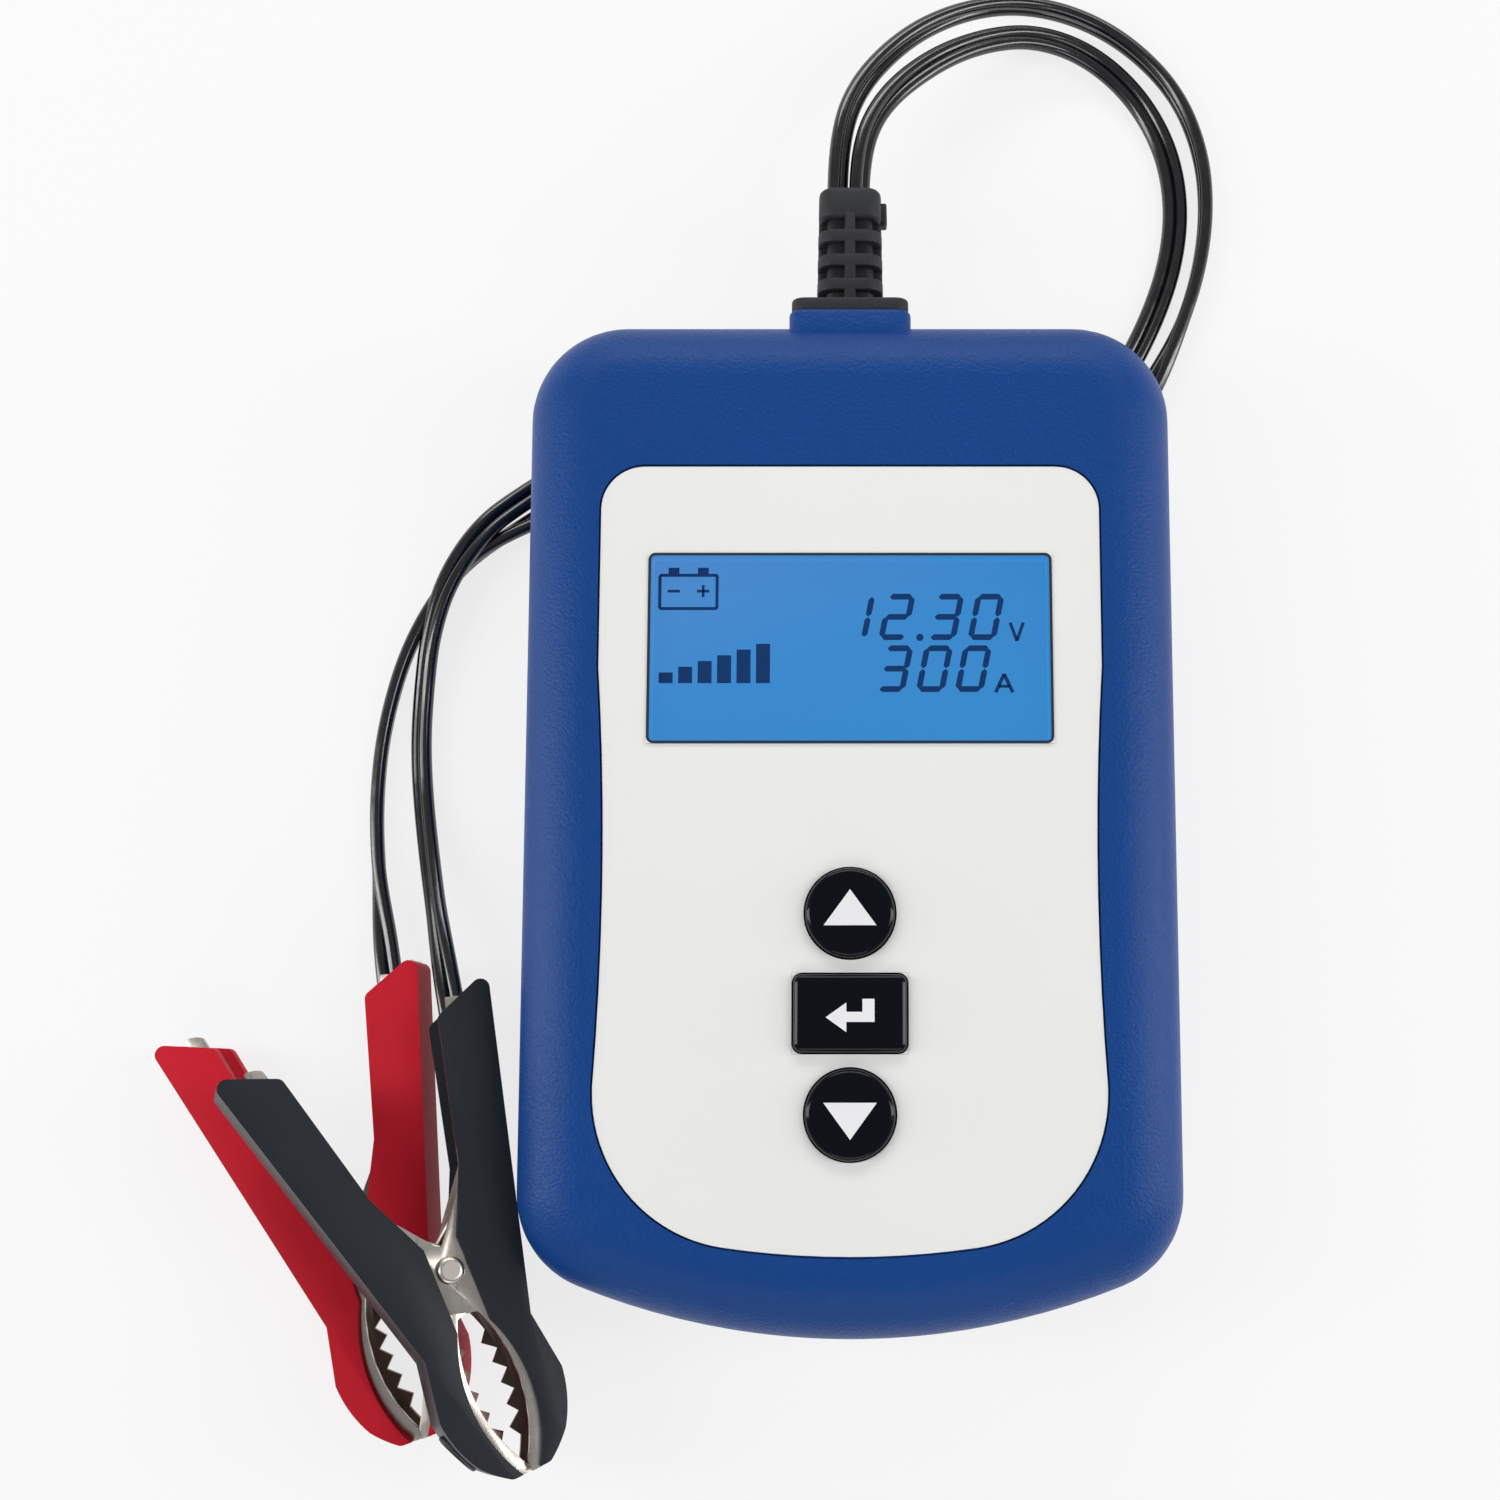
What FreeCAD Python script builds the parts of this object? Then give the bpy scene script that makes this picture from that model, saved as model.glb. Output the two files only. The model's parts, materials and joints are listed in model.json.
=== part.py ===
"""Battery tester with a moulded case, three keys and two sprung test clips, in millimetres.

The case lies on its back with its front up: +X is to the right of the display, +Y is towards the
lead outlet and +Z comes out of the front.  The origin is under the middle of the case, on the
surface that its feet stand on.
"""
import FreeCAD, Part
import math
import os
import Sketcher
from FreeCAD import Rotation, Vector

doc = FreeCAD.newDocument("BatteryTester")
sheet = doc.addObject("Spreadsheet::Sheet", "Sizes")

DRIVING_SIZES = {
    # Case
    "case_length": 131.6, "case_width": 85.0, "case_foot_width": 84.2, "front_depth": 12.5,
    "rear_depth": 12.5, "case_wall": 2.2, "top_corner": 12.9, "bottom_corner": 12.5,
    "bottom_bow": 10.0, "front_rim": 8.5, "rear_rim": 5.0,
    "boss_width": 16.0, "boss_reach": 1.6, "boss_half_depth": 6.0,
    # Feet and screws
    "foot_height": 3.0, "foot_radius": 4.0, "foot_seat": 0.6,
    "foot_top_x": 14.0, "foot_top_inset": 9.0, "foot_low_x": 26.0, "foot_low_inset": 15.0,
    "post_radius": 3.4, "post_side": 8.5, "post_top_inset": 13.0, "post_low_inset": 16.6,
    "screw_radius": 1.4, "screw_head_radius": 2.6, "screw_head_height": 1.8, "screw_bite": 7.0,
    "screw_seat": 3.0, "screw_play": 0.2,
    # Face panel
    "panel_thick": 0.8, "panel_recess": 1.0, "panel_gap": 0.25, "panel_top_margin": 21.1,
    "panel_low_margin": 10.7, "panel_side_margin": 10.4, "panel_hip_margin": 10.2,
    "panel_waist": 0.9, "panel_shoulder": 26.3, "panel_hip": 20.6, "panel_low_bow": 4.7,
    "panel_top_corner": 5.6, "panel_low_corner": 19.0,
    # Display
    "window_width": 51.8, "window_height": 24.8, "window_drop": 45.0, "window_ledge": 0.5,
    "window_thick": 1.0, "glass_margin": 2.4, "glass_thick": 2.0,
    "backlight_thick": 2.6, "frame_wall": 1.6, "frame_ledge": 1.5, "display_gap": 0.2,
    # Keys
    "key_radius": 5.6, "key_pitch": 12.45, "key_shift": 2.2, "key_proud": 1.3, "key_edge": 0.7,
    "enter_width": 14.1, "enter_height": 9.6, "enter_corner": 1.0, "key_gap": 0.25,
    "key_flange": 1.0, "flange_thick": 1.0, "key_stem_radius": 2.2, "key_travel_room": 0.6,
    "switch_size": 6.2, "switch_height": 3.4, "plunger_radius": 1.7, "plunger_length": 2.0,
    "plunger_bore_depth": 1.5, "plunger_play": 0.1,
    # Circuit board and what it carries
    "board_side_gap": 6.5, "board_low_gap": 20.6, "board_thick": 1.6, "board_corner": 3.0,
    "board_drop": 18.5, "board_under": 1.3, "board_post_side": 4.5, "board_post_inset": 4.5,
    "board_post_radius": 2.8, "board_screw_radius": 1.1, "board_head_radius": 2.1,
    "board_head_height": 1.4, "board_screw_bite": 4.5,
    "chip_size": 12.0, "chip_thick": 1.5, "chip_x": -18.0, "chip_y": -22.0,
    "resistor_length": 24.0, "resistor_width": 8.0, "resistor_height": 7.0,
    "resistor_spread": 22.0, "resistor_y": 12.0,
    "capacitor_radius": 4.0, "capacitor_length": 9.0, "capacitor_x": 18.0, "capacitor_y": -24.0,
    # Lead outlet
    "outlet_width": 11.0, "outlet_height": 8.0, "outlet_play": 0.1, "relief_flange_width": 15.6,
    "relief_flange_height": 11.0, "relief_flange_thick": 1.9, "relief_inner_flange": 2.0,
    "relief_inner_height": 8.8,
    "relief_length": 17.4, "relief_width": 9.4, "relief_height": 8.4, "relief_taper": 1.0,
    "relief_slot": 1.75, "relief_slot_pitch": 3.45, "relief_slot_depth": 1.6, "relief_rib": 1.5,
    "relief_rail": 0.75,
    "core_radius": 0.8, "core_pitch": 1.9, "core_length": 16.5, "terminal_size": 1.7,
    "terminal_length": 3.0,
    # Twin leads
    "lead_core": 0.95, "lead_pitch": 1.7,
    # Test clips
    "clip_half_width": 3.6, "clip_steel": 0.8, "clip_nest_gap": 0.2, "cover_wall": 0.9,
    "cover_gap": 0.1, "handle_length": 33.0, "handle_spread": 17.6, "handle_depth": 5.2,
    "cover_lip": 1.0, "cover_overhang": 0.8, "heel_reach": 12.0, "heel_height": 7.0,
    "neck_reach": 9.0, "neck_height": 6.1, "nose_reach": 16.5, "nose_height": 7.2,
    "brow_reach": 23.0, "brow_height": 4.8, "nose_round": 16.0, "tip_reach": 26.6,
    "tip_height": 1.5, "tip_gap": 0.15, "bite_start": 6.0, "bite_end": 25.2, "bite_rise": 2.3,
    "bite_root": 1.3, "tooth_depth": 1.4, "tooth_root": 0.5, "ear_drop": 3.4, "ear_reach": 4.6,
    "ear_notch": 3.0, "ear_tip_reach": 5.4, "ear_tip_drop": 4.0, "ear_room": 7.1,
    "rivet_radius": 1.2, "rivet_play": 0.06, "rivet_head": 1.75, "rivet_head_height": 0.9,
    "handle_slant": 3.4, "tab_start": 28.6, "tab_end": 31.4, "tab_drop": 4.4, "tab_rise": 1.15,
    "tongue_start": 27.0, "tongue_end": 34.4, "tongue_depth": 3.0, "tongue_width": 2.0,
    "cover_waist": 2.2, "cover_throat": 7.5, "cover_shoulder": 3.6, "cover_round": 1.2,
    "crimp_start": 13.0, "crimp_end": 18.0,
    "crimp_height": 3.6, "crimp_width": 4.6,
    "spring_wire": 0.4, "spring_radius": 2.55, "spring_pitch": 1.25, "spring_leg": 11.5,
    "red_aside": 22.0, "red_rise": 11.0, "red_yaw": -70.5, "red_roll": 0.0,
    "black_aside": 9.0, "black_rise": 7.8, "black_lift": 16.0, "black_yaw": -66.0, "black_roll": -20.0,
}


class Size:
    """A value with the sheet expression that gives it, so that sums of sizes stay bound."""

    def __init__(self, value, text):
        self.value = value
        self.text = text

    def join(self, other, sign, value):
        return Size(value, "(%s %s %s)" % (self.text, sign, as_size(other).text))

    def __add__(self, other):
        return self.join(other, "+", self.value + as_size(other).value)

    def __sub__(self, other):
        return self.join(other, "-", self.value - as_size(other).value)

    def __mul__(self, other):
        return self.join(other, "*", self.value * as_size(other).value)

    def __truediv__(self, other):
        return self.join(other, "/", self.value / as_size(other).value)

    def __neg__(self):
        return Size(-self.value, "(0 - %s)" % self.text)


def as_size(number):
    return number if isinstance(number, Size) else Size(number, repr(number))


class Sizes:
    """Every driving dimension by name, stored in one row each of the sheet."""

    def __init__(self, values):
        for row, (alias, value) in enumerate(values.items(), 1):
            sheet.set("A%d" % row, alias)
            sheet.set("B%d" % row, repr(value))
            sheet.setAlias("B%d" % row, alias)
            setattr(self, alias, Size(value, "Sizes." + alias))


dim = Sizes(DRIVING_SIZES)
doc.recompute()
parts = {}


def bind(item, prop, size):
    """Set a property to a size and keep it bound to the sheet."""
    item.setExpression(prop, as_size(size).text)


def keep(item, label):
    item.Label = label
    parts[label] = item
    return item


def place(item, x=0, y=0, z=0):
    for axis, size in zip("xyz", (x, y, z)):
        bind(item, "Placement.Base." + axis, size)
    return item


def new_body(label):
    return keep(doc.addObject("PartDesign::Body", label), label)


def new_sketch(body, role, lift=0):
    """A sketch on one of the body's own planes, raised along the plane's normal."""
    plane = [item for item in body.Origin.OriginFeatures if item.Role == role][0]
    sketch = body.newObject("Sketcher::SketchObject", "Sketch")
    sketch.AttachmentSupport = [(plane, "")]
    sketch.MapMode = "FlatFace"
    bind(sketch, "AttachmentOffset.Base.z", lift)
    return sketch


def fix(sketch, constraint, size):
    index = sketch.addConstraint(constraint)
    bind(sketch, "Constraints[%d]" % index, size)


def arc_between(start, end, radius):
    """The shallow arc from start to end that bulges to the right of travel, or left if negative."""
    chord = end - start
    half = chord.Length / 2
    side = Vector(chord.y, -chord.x, 0).normalize() * math.copysign(1, radius)
    rise = abs(radius) - math.sqrt(radius * radius - half * half)
    return Part.Arc(start, (start + end) / 2 + side * rise, end)


def draw_outline(sketch, corners, bows=None):
    """A closed outline through corners, with the edges named in bows drawn as arcs of that radius."""
    bows = bows or {}
    spots = [Vector(as_size(x).value, as_size(y).value, 0) for x, y in corners]
    first = sketch.GeometryCount
    starts = []
    ends = []
    for number, spot in enumerate(spots):
        after = spots[(number + 1) % len(spots)]
        if number in bows:
            sketch.addGeometry(arc_between(spot, after, bows[number].value))
            clockwise = bows[number].value < 0
            starts.append(2 if clockwise else 1)
            ends.append(1 if clockwise else 2)
        else:
            sketch.addGeometry(Part.LineSegment(spot, after))
            starts.append(1)
            ends.append(2)
    count = len(spots)
    for number in range(count):
        edge = first + number
        after = (number + 1) % count
        sketch.addConstraint(
            Sketcher.Constraint("Coincident", edge, ends[number], first + after, starts[after]))
    for number, (x, y) in enumerate(corners):
        edge = first + number
        fix(sketch, Sketcher.Constraint("DistanceX", edge, starts[number], spots[number].x), x)
        fix(sketch, Sketcher.Constraint("DistanceY", edge, starts[number], spots[number].y), y)
    for number, radius in bows.items():
        size = radius if radius.value > 0 else -radius
        fix(sketch, Sketcher.Constraint("Radius", first + number, size.value), size)
    return sketch


def draw_box(sketch, x, y, width, height):
    """A rectangle about a centre."""
    left = as_size(x) - as_size(width) / 2
    right = as_size(x) + as_size(width) / 2
    low = as_size(y) - as_size(height) / 2
    high = as_size(y) + as_size(height) / 2
    return draw_outline(sketch, [(left, low), (right, low), (right, high), (left, high)])


def draw_circle(sketch, x, y, radius):
    x, y, radius = as_size(x), as_size(y), as_size(radius)
    index = sketch.addGeometry(Part.Circle(Vector(x.value, y.value, 0), Vector(0, 0, 1), radius.value))
    fix(sketch, Sketcher.Constraint("DistanceX", index, 3, x.value), x)
    fix(sketch, Sketcher.Constraint("DistanceY", index, 3, y.value), y)
    fix(sketch, Sketcher.Constraint("Radius", index, radius.value), radius)
    return sketch


def extrude(body, kind, sketch, length, back=False, both=False):
    """A Pad or Pocket of a sketch; back runs it the other way and both centres it."""
    feature = body.newObject("PartDesign::" + kind, kind)
    feature.Profile = sketch
    bind(feature, "Length", length)
    feature.Reversed = back
    if both:
        feature.SideType = "Symmetric"
    doc.recompute()
    return feature


def pad(body, sketch, length, back=False, both=False):
    return extrude(body, "Pad", sketch, length, back, both)


def pocket(body, sketch, length, back=False, both=False):
    return extrude(body, "Pocket", sketch, length, back, both)


def round_edges(body, radius, wanted):
    """Round the edges of the finished form that wanted picks."""
    base = body.Tip
    names = ["Edge%d" % number for number, edge in enumerate(base.Shape.Edges, 1) if wanted(edge)]
    feature = body.newObject("PartDesign::Fillet", "Fillet")
    feature.Base = (base, names)
    bind(feature, "Radius", radius)
    doc.recompute()
    return feature


def upright_at(*spots):
    """Picks straight edges along Z that stand on the given places."""
    wanted = [(as_size(x).value, as_size(y).value) for x, y in spots]

    def picks(edge):
        low, high = edge.Vertexes[0].Point, edge.Vertexes[-1].Point
        if abs(low.x - high.x) + abs(low.y - high.y) > 0.001 or abs(low.z - high.z) < 0.01:
            return False
        return any(math.hypot(low.x - x, low.y - y) < 0.01 for x, y in wanted)
    return picks


def flat_at(height):
    """Picks edges that lie wholly at one height."""
    level = as_size(height).value

    def picks(edge):
        return abs(edge.BoundBox.ZMin - level) < 0.001 and abs(edge.BoundBox.ZMax - level) < 0.001
    return picks


def root(size):
    return Size(math.sqrt(size.value), "sqrt(%s)" % size.text)


def bow_radius(half_chord, rise):
    return (half_chord * half_chord + rise * rise) / (rise * 2)


def group(label, items):
    compound = doc.addObject("Part::Compound", label)
    compound.Links = items
    return keep(compound, label)


def cylinder(radius, length, x, y, z, name="Cylinder"):
    item = doc.addObject("Part::Cylinder", name)
    bind(item, "Radius", radius)
    bind(item, "Height", length)
    return place(item, x, y, z)


def block(width, length, height, x, y, z, name="Block"):
    """A box centred on x and y that stands on z."""
    item = doc.addObject("Part::Box", name)
    bind(item, "Width", length)
    bind(item, "Length", width)
    bind(item, "Height", height)
    return place(item, as_size(x) - as_size(width) / 2, as_size(y) - as_size(length) / 2, z)


# Levels and places that several pieces share
top_end = (dim.case_length - dim.boss_reach) / 2
low_end = -(dim.case_length + dim.boss_reach) / 2
parting = dim.foot_height + dim.rear_depth
front_face = parting + dim.front_depth
roof = front_face - dim.case_wall
recess_floor = front_face - dim.panel_recess
panel_face = recess_floor + dim.panel_thick
board_low = parting + dim.board_under
board_top = board_low + dim.board_thick
board_width = dim.case_width - dim.board_side_gap * 2
board_length = dim.case_length - dim.board_drop - dim.board_low_gap
board_y = top_end - dim.board_drop - board_length / 2
window_y = top_end - dim.window_drop
panel_low = low_end + dim.panel_low_margin
key_ys = {"enter": (window_y - dim.window_height / 2 + panel_low) / 2 - dim.key_shift}
key_ys["up"] = key_ys["enter"] + dim.key_pitch
key_ys["down"] = key_ys["enter"] - dim.key_pitch
post_places = [((dim.case_width / 2 - dim.post_side) * side, y) for side in (-1, 1)
               for y in (top_end - dim.post_top_inset, low_end + dim.post_low_inset)]
board_posts = [((board_width / 2 - dim.board_post_side) * side,
                board_y + (board_length / 2 - dim.board_post_inset) * end)
               for side in (-1, 1) for end in (-1, 1)]
foot_places = [(dim.foot_top_x * side, top_end - dim.foot_top_inset) for side in (-1, 1)]
foot_places += [(dim.foot_low_x * side, low_end + dim.foot_low_inset) for side in (-1, 1)]
handle_slope = (dim.handle_spread - dim.neck_height) / (dim.handle_length + dim.neck_reach)
clip_places = {
    "red": (-dim.case_width / 2 - dim.red_aside, low_end + dim.red_rise,
            dim.clip_half_width + dim.cover_gap + dim.cover_wall),
    "black": (-dim.case_width / 2 - dim.black_aside, low_end + dim.black_rise, dim.black_lift),
}


def case_corners():
    half_top = dim.case_width / 2
    half_low = dim.case_foot_width / 2
    low = low_end + dim.bottom_bow
    return [(-half_top, top_end), (-half_low, low), (half_low, low), (half_top, top_end)]


def case_half(label, depth, rim, back):
    """A hollow half of the case, closed on the side away from the parting plane."""
    body = new_body(label)
    corners = case_corners()
    sketch = new_sketch(body, "XY_Plane", parting)
    draw_outline(sketch, corners, {1: bow_radius(dim.case_foot_width / 2, dim.bottom_bow)})
    pad(body, sketch, depth, back)
    round_edges(body, dim.top_corner, upright_at(corners[0], corners[3]))
    round_edges(body, dim.bottom_corner, upright_at(corners[1], corners[2]))
    closed = parting - depth if back else parting + depth
    round_edges(body, rim, flat_at(closed))
    base = body.Tip
    faces = ["Face%d" % number for number, face in enumerate(base.Shape.Faces, 1)
             if flat_at(parting)(face)]
    shell = body.newObject("PartDesign::Thickness", "Shell")
    shell.Base = (base, faces)
    shell.Reversed = True
    bind(shell, "Value", dim.case_wall)
    doc.recompute()
    boss = new_sketch(body, "XY_Plane", parting)
    boss_depth = dim.boss_reach + dim.case_wall / 2
    draw_box(boss, 0, top_end + dim.boss_reach - boss_depth / 2, dim.boss_width, boss_depth)
    pad(body, boss, dim.boss_half_depth, back)
    outlet = new_sketch(body, "XY_Plane", parting)
    cut = boss_depth + dim.case_wall * 2
    draw_box(outlet, 0, top_end + dim.boss_reach - boss_depth / 2, dim.outlet_width, cut)
    pocket(body, outlet, dim.outlet_height / 2, not back)
    return body


def draw_panel(sketch, gap):
    """The face panel's outline: square shoulders, a drawn-in waist and a bowed, rounded lower end."""
    top = top_end - dim.panel_top_margin
    shoulder = top - dim.panel_shoulder
    hip = panel_low + dim.panel_hip
    half_low = dim.case_foot_width / 2 - dim.panel_hip_margin
    wide = dim.case_width / 2 - dim.panel_side_margin + gap
    hips = half_low + gap
    waist = bow_radius((shoulder - hip) / 2, dim.panel_waist)
    bow = bow_radius(half_low, dim.panel_low_bow)
    corner = dim.panel_low_corner
    middle = bow - corner
    drop = root(middle * middle - (half_low - corner) * (half_low - corner))
    reach = (bow + gap) / middle
    corner_y = panel_low + bow - drop
    turn = ((half_low - corner) * reach, panel_low + bow - drop * reach)
    corners = [(-wide, top + gap), (-wide, shoulder), (-hips, hip), (-hips, corner_y),
               (-turn[0], turn[1]), turn, (hips, corner_y), (hips, hip), (wide, shoulder),
               (wide, top + gap)]
    bows = {1: -waist, 3: corner + gap, 4: bow + gap, 5: corner + gap, 7: -waist}
    draw_outline(sketch, corners, bows)
    return corners[0], corners[-1]


def draw_keys(sketch, gap):
    for name in ("up", "down"):
        draw_circle(sketch, 0, key_ys[name], dim.key_radius + gap)
    draw_box(sketch, 0, key_ys["enter"], dim.enter_width + as_size(gap) * 2,
             dim.enter_height + as_size(gap) * 2)
    return sketch


def front_shell():
    body = case_half("front_shell", dim.front_depth, dim.front_rim, False)
    recess = new_sketch(body, "XY_Plane", front_face)
    shoulders = draw_panel(recess, dim.panel_gap)
    pocket(body, recess, dim.panel_recess)
    round_edges(body, dim.panel_top_corner + dim.panel_gap, upright_at(*shoulders))
    holes = new_sketch(body, "XY_Plane", front_face)
    draw_keys(holes, dim.key_gap)
    draw_box(holes, 0, window_y, dim.window_width - dim.window_ledge * 2,
             dim.window_height - dim.window_ledge * 2)
    pocket(body, holes, dim.case_wall * 2)
    posts = new_sketch(body, "XY_Plane", parting)
    for x, y in post_places:
        draw_circle(posts, x, y, dim.post_radius)
    pad(body, posts, roof - parting)
    bores = new_sketch(body, "XY_Plane", parting)
    for x, y in post_places:
        draw_circle(bores, x, y, dim.screw_radius)
    pocket(body, bores, dim.screw_bite + dim.screw_play, True)
    board_seats = new_sketch(body, "XY_Plane", board_top)
    for x, y in board_posts:
        draw_circle(board_seats, x, y, dim.board_post_radius)
    pad(body, board_seats, roof - board_top)
    board_bores = new_sketch(body, "XY_Plane", board_top)
    for x, y in board_posts:
        draw_circle(board_bores, x, y, dim.board_screw_radius)
    pocket(body, board_bores, dim.board_screw_bite + dim.screw_play, True)


def rear_shell():
    body = case_half("rear_shell", dim.rear_depth, dim.rear_rim, True)
    floor = dim.foot_height + dim.case_wall
    posts = new_sketch(body, "XY_Plane", parting)
    for x, y in post_places:
        draw_circle(posts, x, y, dim.post_radius)
    pad(body, posts, parting - floor + dim.case_wall / 2, True)
    bores = new_sketch(body, "XY_Plane", parting)
    for x, y in post_places:
        draw_circle(bores, x, y, dim.screw_radius + dim.screw_play)
    pocket(body, bores, dim.rear_depth * 2)
    wells = new_sketch(body, "XY_Plane", dim.foot_height)
    for x, y in post_places:
        draw_circle(wells, x, y, dim.screw_head_radius + dim.screw_play)
    pocket(body, wells, dim.screw_seat + dim.screw_head_height, True)
    seats = new_sketch(body, "XY_Plane", dim.foot_height)
    for x, y in foot_places:
        draw_circle(seats, x, y, dim.foot_radius + dim.screw_play)
    pocket(body, seats, dim.foot_seat, True)


def face_panel():
    body = new_body("face_panel")
    sheet_outline = new_sketch(body, "XY_Plane", recess_floor)
    shoulders = draw_panel(sheet_outline, 0)
    pad(body, sheet_outline, dim.panel_thick)
    round_edges(body, dim.panel_top_corner, upright_at(*shoulders))
    holes = new_sketch(body, "XY_Plane", panel_face)
    draw_keys(holes, dim.key_gap)
    draw_box(holes, 0, window_y, dim.window_width, dim.window_height)
    pocket(body, holes, dim.panel_thick * 2)


def display():
    """The window, the display glass with its backlight, and the frame that holds them."""
    window = new_body("window_lens")
    width = dim.window_width - dim.display_gap
    height = dim.window_height - dim.display_gap
    pad(window, draw_box(new_sketch(window, "XY_Plane", recess_floor), 0, window_y, width, height),
        dim.window_thick)
    glass_width = dim.window_width + dim.glass_margin * 2
    glass_height = dim.window_height + dim.glass_margin * 2
    glass_low = roof - dim.display_gap - dim.glass_thick
    light_low = glass_low - dim.backlight_thick
    for label, low, thick in (("lcd_glass", glass_low, dim.glass_thick),
                              ("backlight", light_low, dim.backlight_thick)):
        body = new_body(label)
        pad(body, draw_box(new_sketch(body, "XY_Plane", low), 0, window_y, glass_width, glass_height),
            thick)
    frame = new_body("lcd_frame")
    hole_width = glass_width + dim.display_gap * 2
    hole_height = glass_height + dim.display_gap * 2
    outer = draw_box(new_sketch(frame, "XY_Plane", board_top), 0, window_y,
                     hole_width + dim.frame_wall * 2, hole_height + dim.frame_wall * 2)
    pad(frame, outer, roof - dim.display_gap - board_top)
    seat = draw_box(new_sketch(frame, "XY_Plane", light_low), 0, window_y, hole_width, hole_height)
    pocket(frame, seat, roof - light_low, True)
    inner = draw_box(new_sketch(frame, "XY_Plane", board_top), 0, window_y,
                     glass_width - dim.frame_ledge * 2, glass_height - dim.frame_ledge * 2)
    pocket(frame, inner, roof - board_top, True)


def keys():
    """Each key cap with its retaining flange and stem, the switch plunger under it and the switches."""
    plunger_top = board_top + dim.switch_height + dim.plunger_length - dim.plunger_bore_depth \
        + dim.key_travel_room
    flange_top = roof - dim.display_gap
    flange_low = flange_top - dim.flange_thick
    cap_top = panel_face + dim.key_proud
    switches = []
    for name, y in key_ys.items():
        body = new_body(name + "_key")
        flange = new_sketch(body, "XY_Plane", flange_low)
        cap = new_sketch(body, "XY_Plane", flange_top)
        if name == "enter":
            draw_box(flange, 0, y, dim.enter_width + dim.key_flange * 2,
                     dim.enter_height + dim.key_flange * 2)
            draw_box(cap, 0, y, dim.enter_width, dim.enter_height)
        else:
            draw_circle(flange, 0, y, dim.key_radius + dim.key_flange)
            draw_circle(cap, 0, y, dim.key_radius)
        pad(body, flange, dim.flange_thick)
        pad(body, cap, cap_top - flange_top)
        if name == "enter":
            half_wide, half_high = dim.enter_width / 2, dim.enter_height / 2
            spots = [(half_wide * i, y + half_high * j) for i in (-1, 1) for j in (-1, 1)]
            round_edges(body, dim.enter_corner, upright_at(*spots))
        round_edges(body, dim.key_edge, flat_at(cap_top))
        stem = new_sketch(body, "XY_Plane", plunger_top)
        draw_circle(stem, 0, y, dim.key_stem_radius)
        pad(body, stem, flange_low - plunger_top)
        plunger = cylinder(dim.plunger_radius, dim.plunger_length, 0, y,
                           plunger_top - dim.plunger_length)
        keep(plunger, name + "_plunger")
        case = block(dim.switch_size, dim.switch_size, dim.switch_height, 0, y, board_top)
        bore = cylinder(dim.plunger_radius + dim.plunger_play, dim.switch_height, 0, y,
                        board_top + dim.switch_height - dim.plunger_bore_depth)
        switch = doc.addObject("Part::Cut", "Switch")
        switch.Base = case
        switch.Tool = bore
        switches.append(switch)
    group("key_switches", switches)


def screws(label, places, radius, head, head_height, seat, length):
    """Pan head screws that point up, with the underside of the head on seat."""
    items = []
    for x, y in places:
        screw = doc.addObject("Part::Fuse", "Screw")
        screw.Base = cylinder(head, head_height, x, y, seat - head_height)
        screw.Tool = cylinder(radius, length, x, y, seat)
        items.append(screw)
    group(label, items)


def board_and_parts():
    board = new_body("circuit_board")
    pad(board, draw_box(new_sketch(board, "XY_Plane", board_low), 0, board_y, board_width, board_length),
        dim.board_thick)
    half_wide, half_long = board_width / 2, board_length / 2
    spots = [(half_wide * i, board_y + half_long * j) for i in (-1, 1) for j in (-1, 1)]
    round_edges(board, dim.board_corner, upright_at(*spots))
    holes = new_sketch(board, "XY_Plane", board_top)
    for x, y in board_posts:
        draw_circle(holes, x, y, dim.board_screw_radius + dim.screw_play)
    pocket(board, holes, dim.board_thick * 2)
    screws("board_screws", board_posts, dim.board_screw_radius, dim.board_head_radius,
           dim.board_head_height, board_low, dim.board_thick + dim.board_screw_bite)
    screws("case_screws", post_places, dim.screw_radius, dim.screw_head_radius, dim.screw_head_height,
           dim.foot_height + dim.screw_seat + dim.screw_head_height,
           parting + dim.screw_bite - dim.foot_height - dim.screw_seat - dim.screw_head_height)
    group("rubber_feet", [cylinder(dim.foot_radius, dim.foot_height + dim.foot_seat, x, y, 0)
                          for x, y in foot_places])
    keep(block(dim.chip_size, dim.chip_size, dim.chip_thick, dim.chip_x, board_y + dim.chip_y,
               board_top), "controller_chip")
    resistors = [block(dim.resistor_width, dim.resistor_length, dim.resistor_height,
                       dim.resistor_spread / 2 * side, board_y + dim.resistor_y,
                       board_low - dim.resistor_height) for side in (-1, 1)]
    group("load_resistors", resistors)
    keep(cylinder(dim.capacitor_radius, dim.capacitor_length, dim.capacitor_x,
                  board_y + dim.capacitor_y, board_low - dim.capacitor_length), "filter_capacitor")


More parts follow.
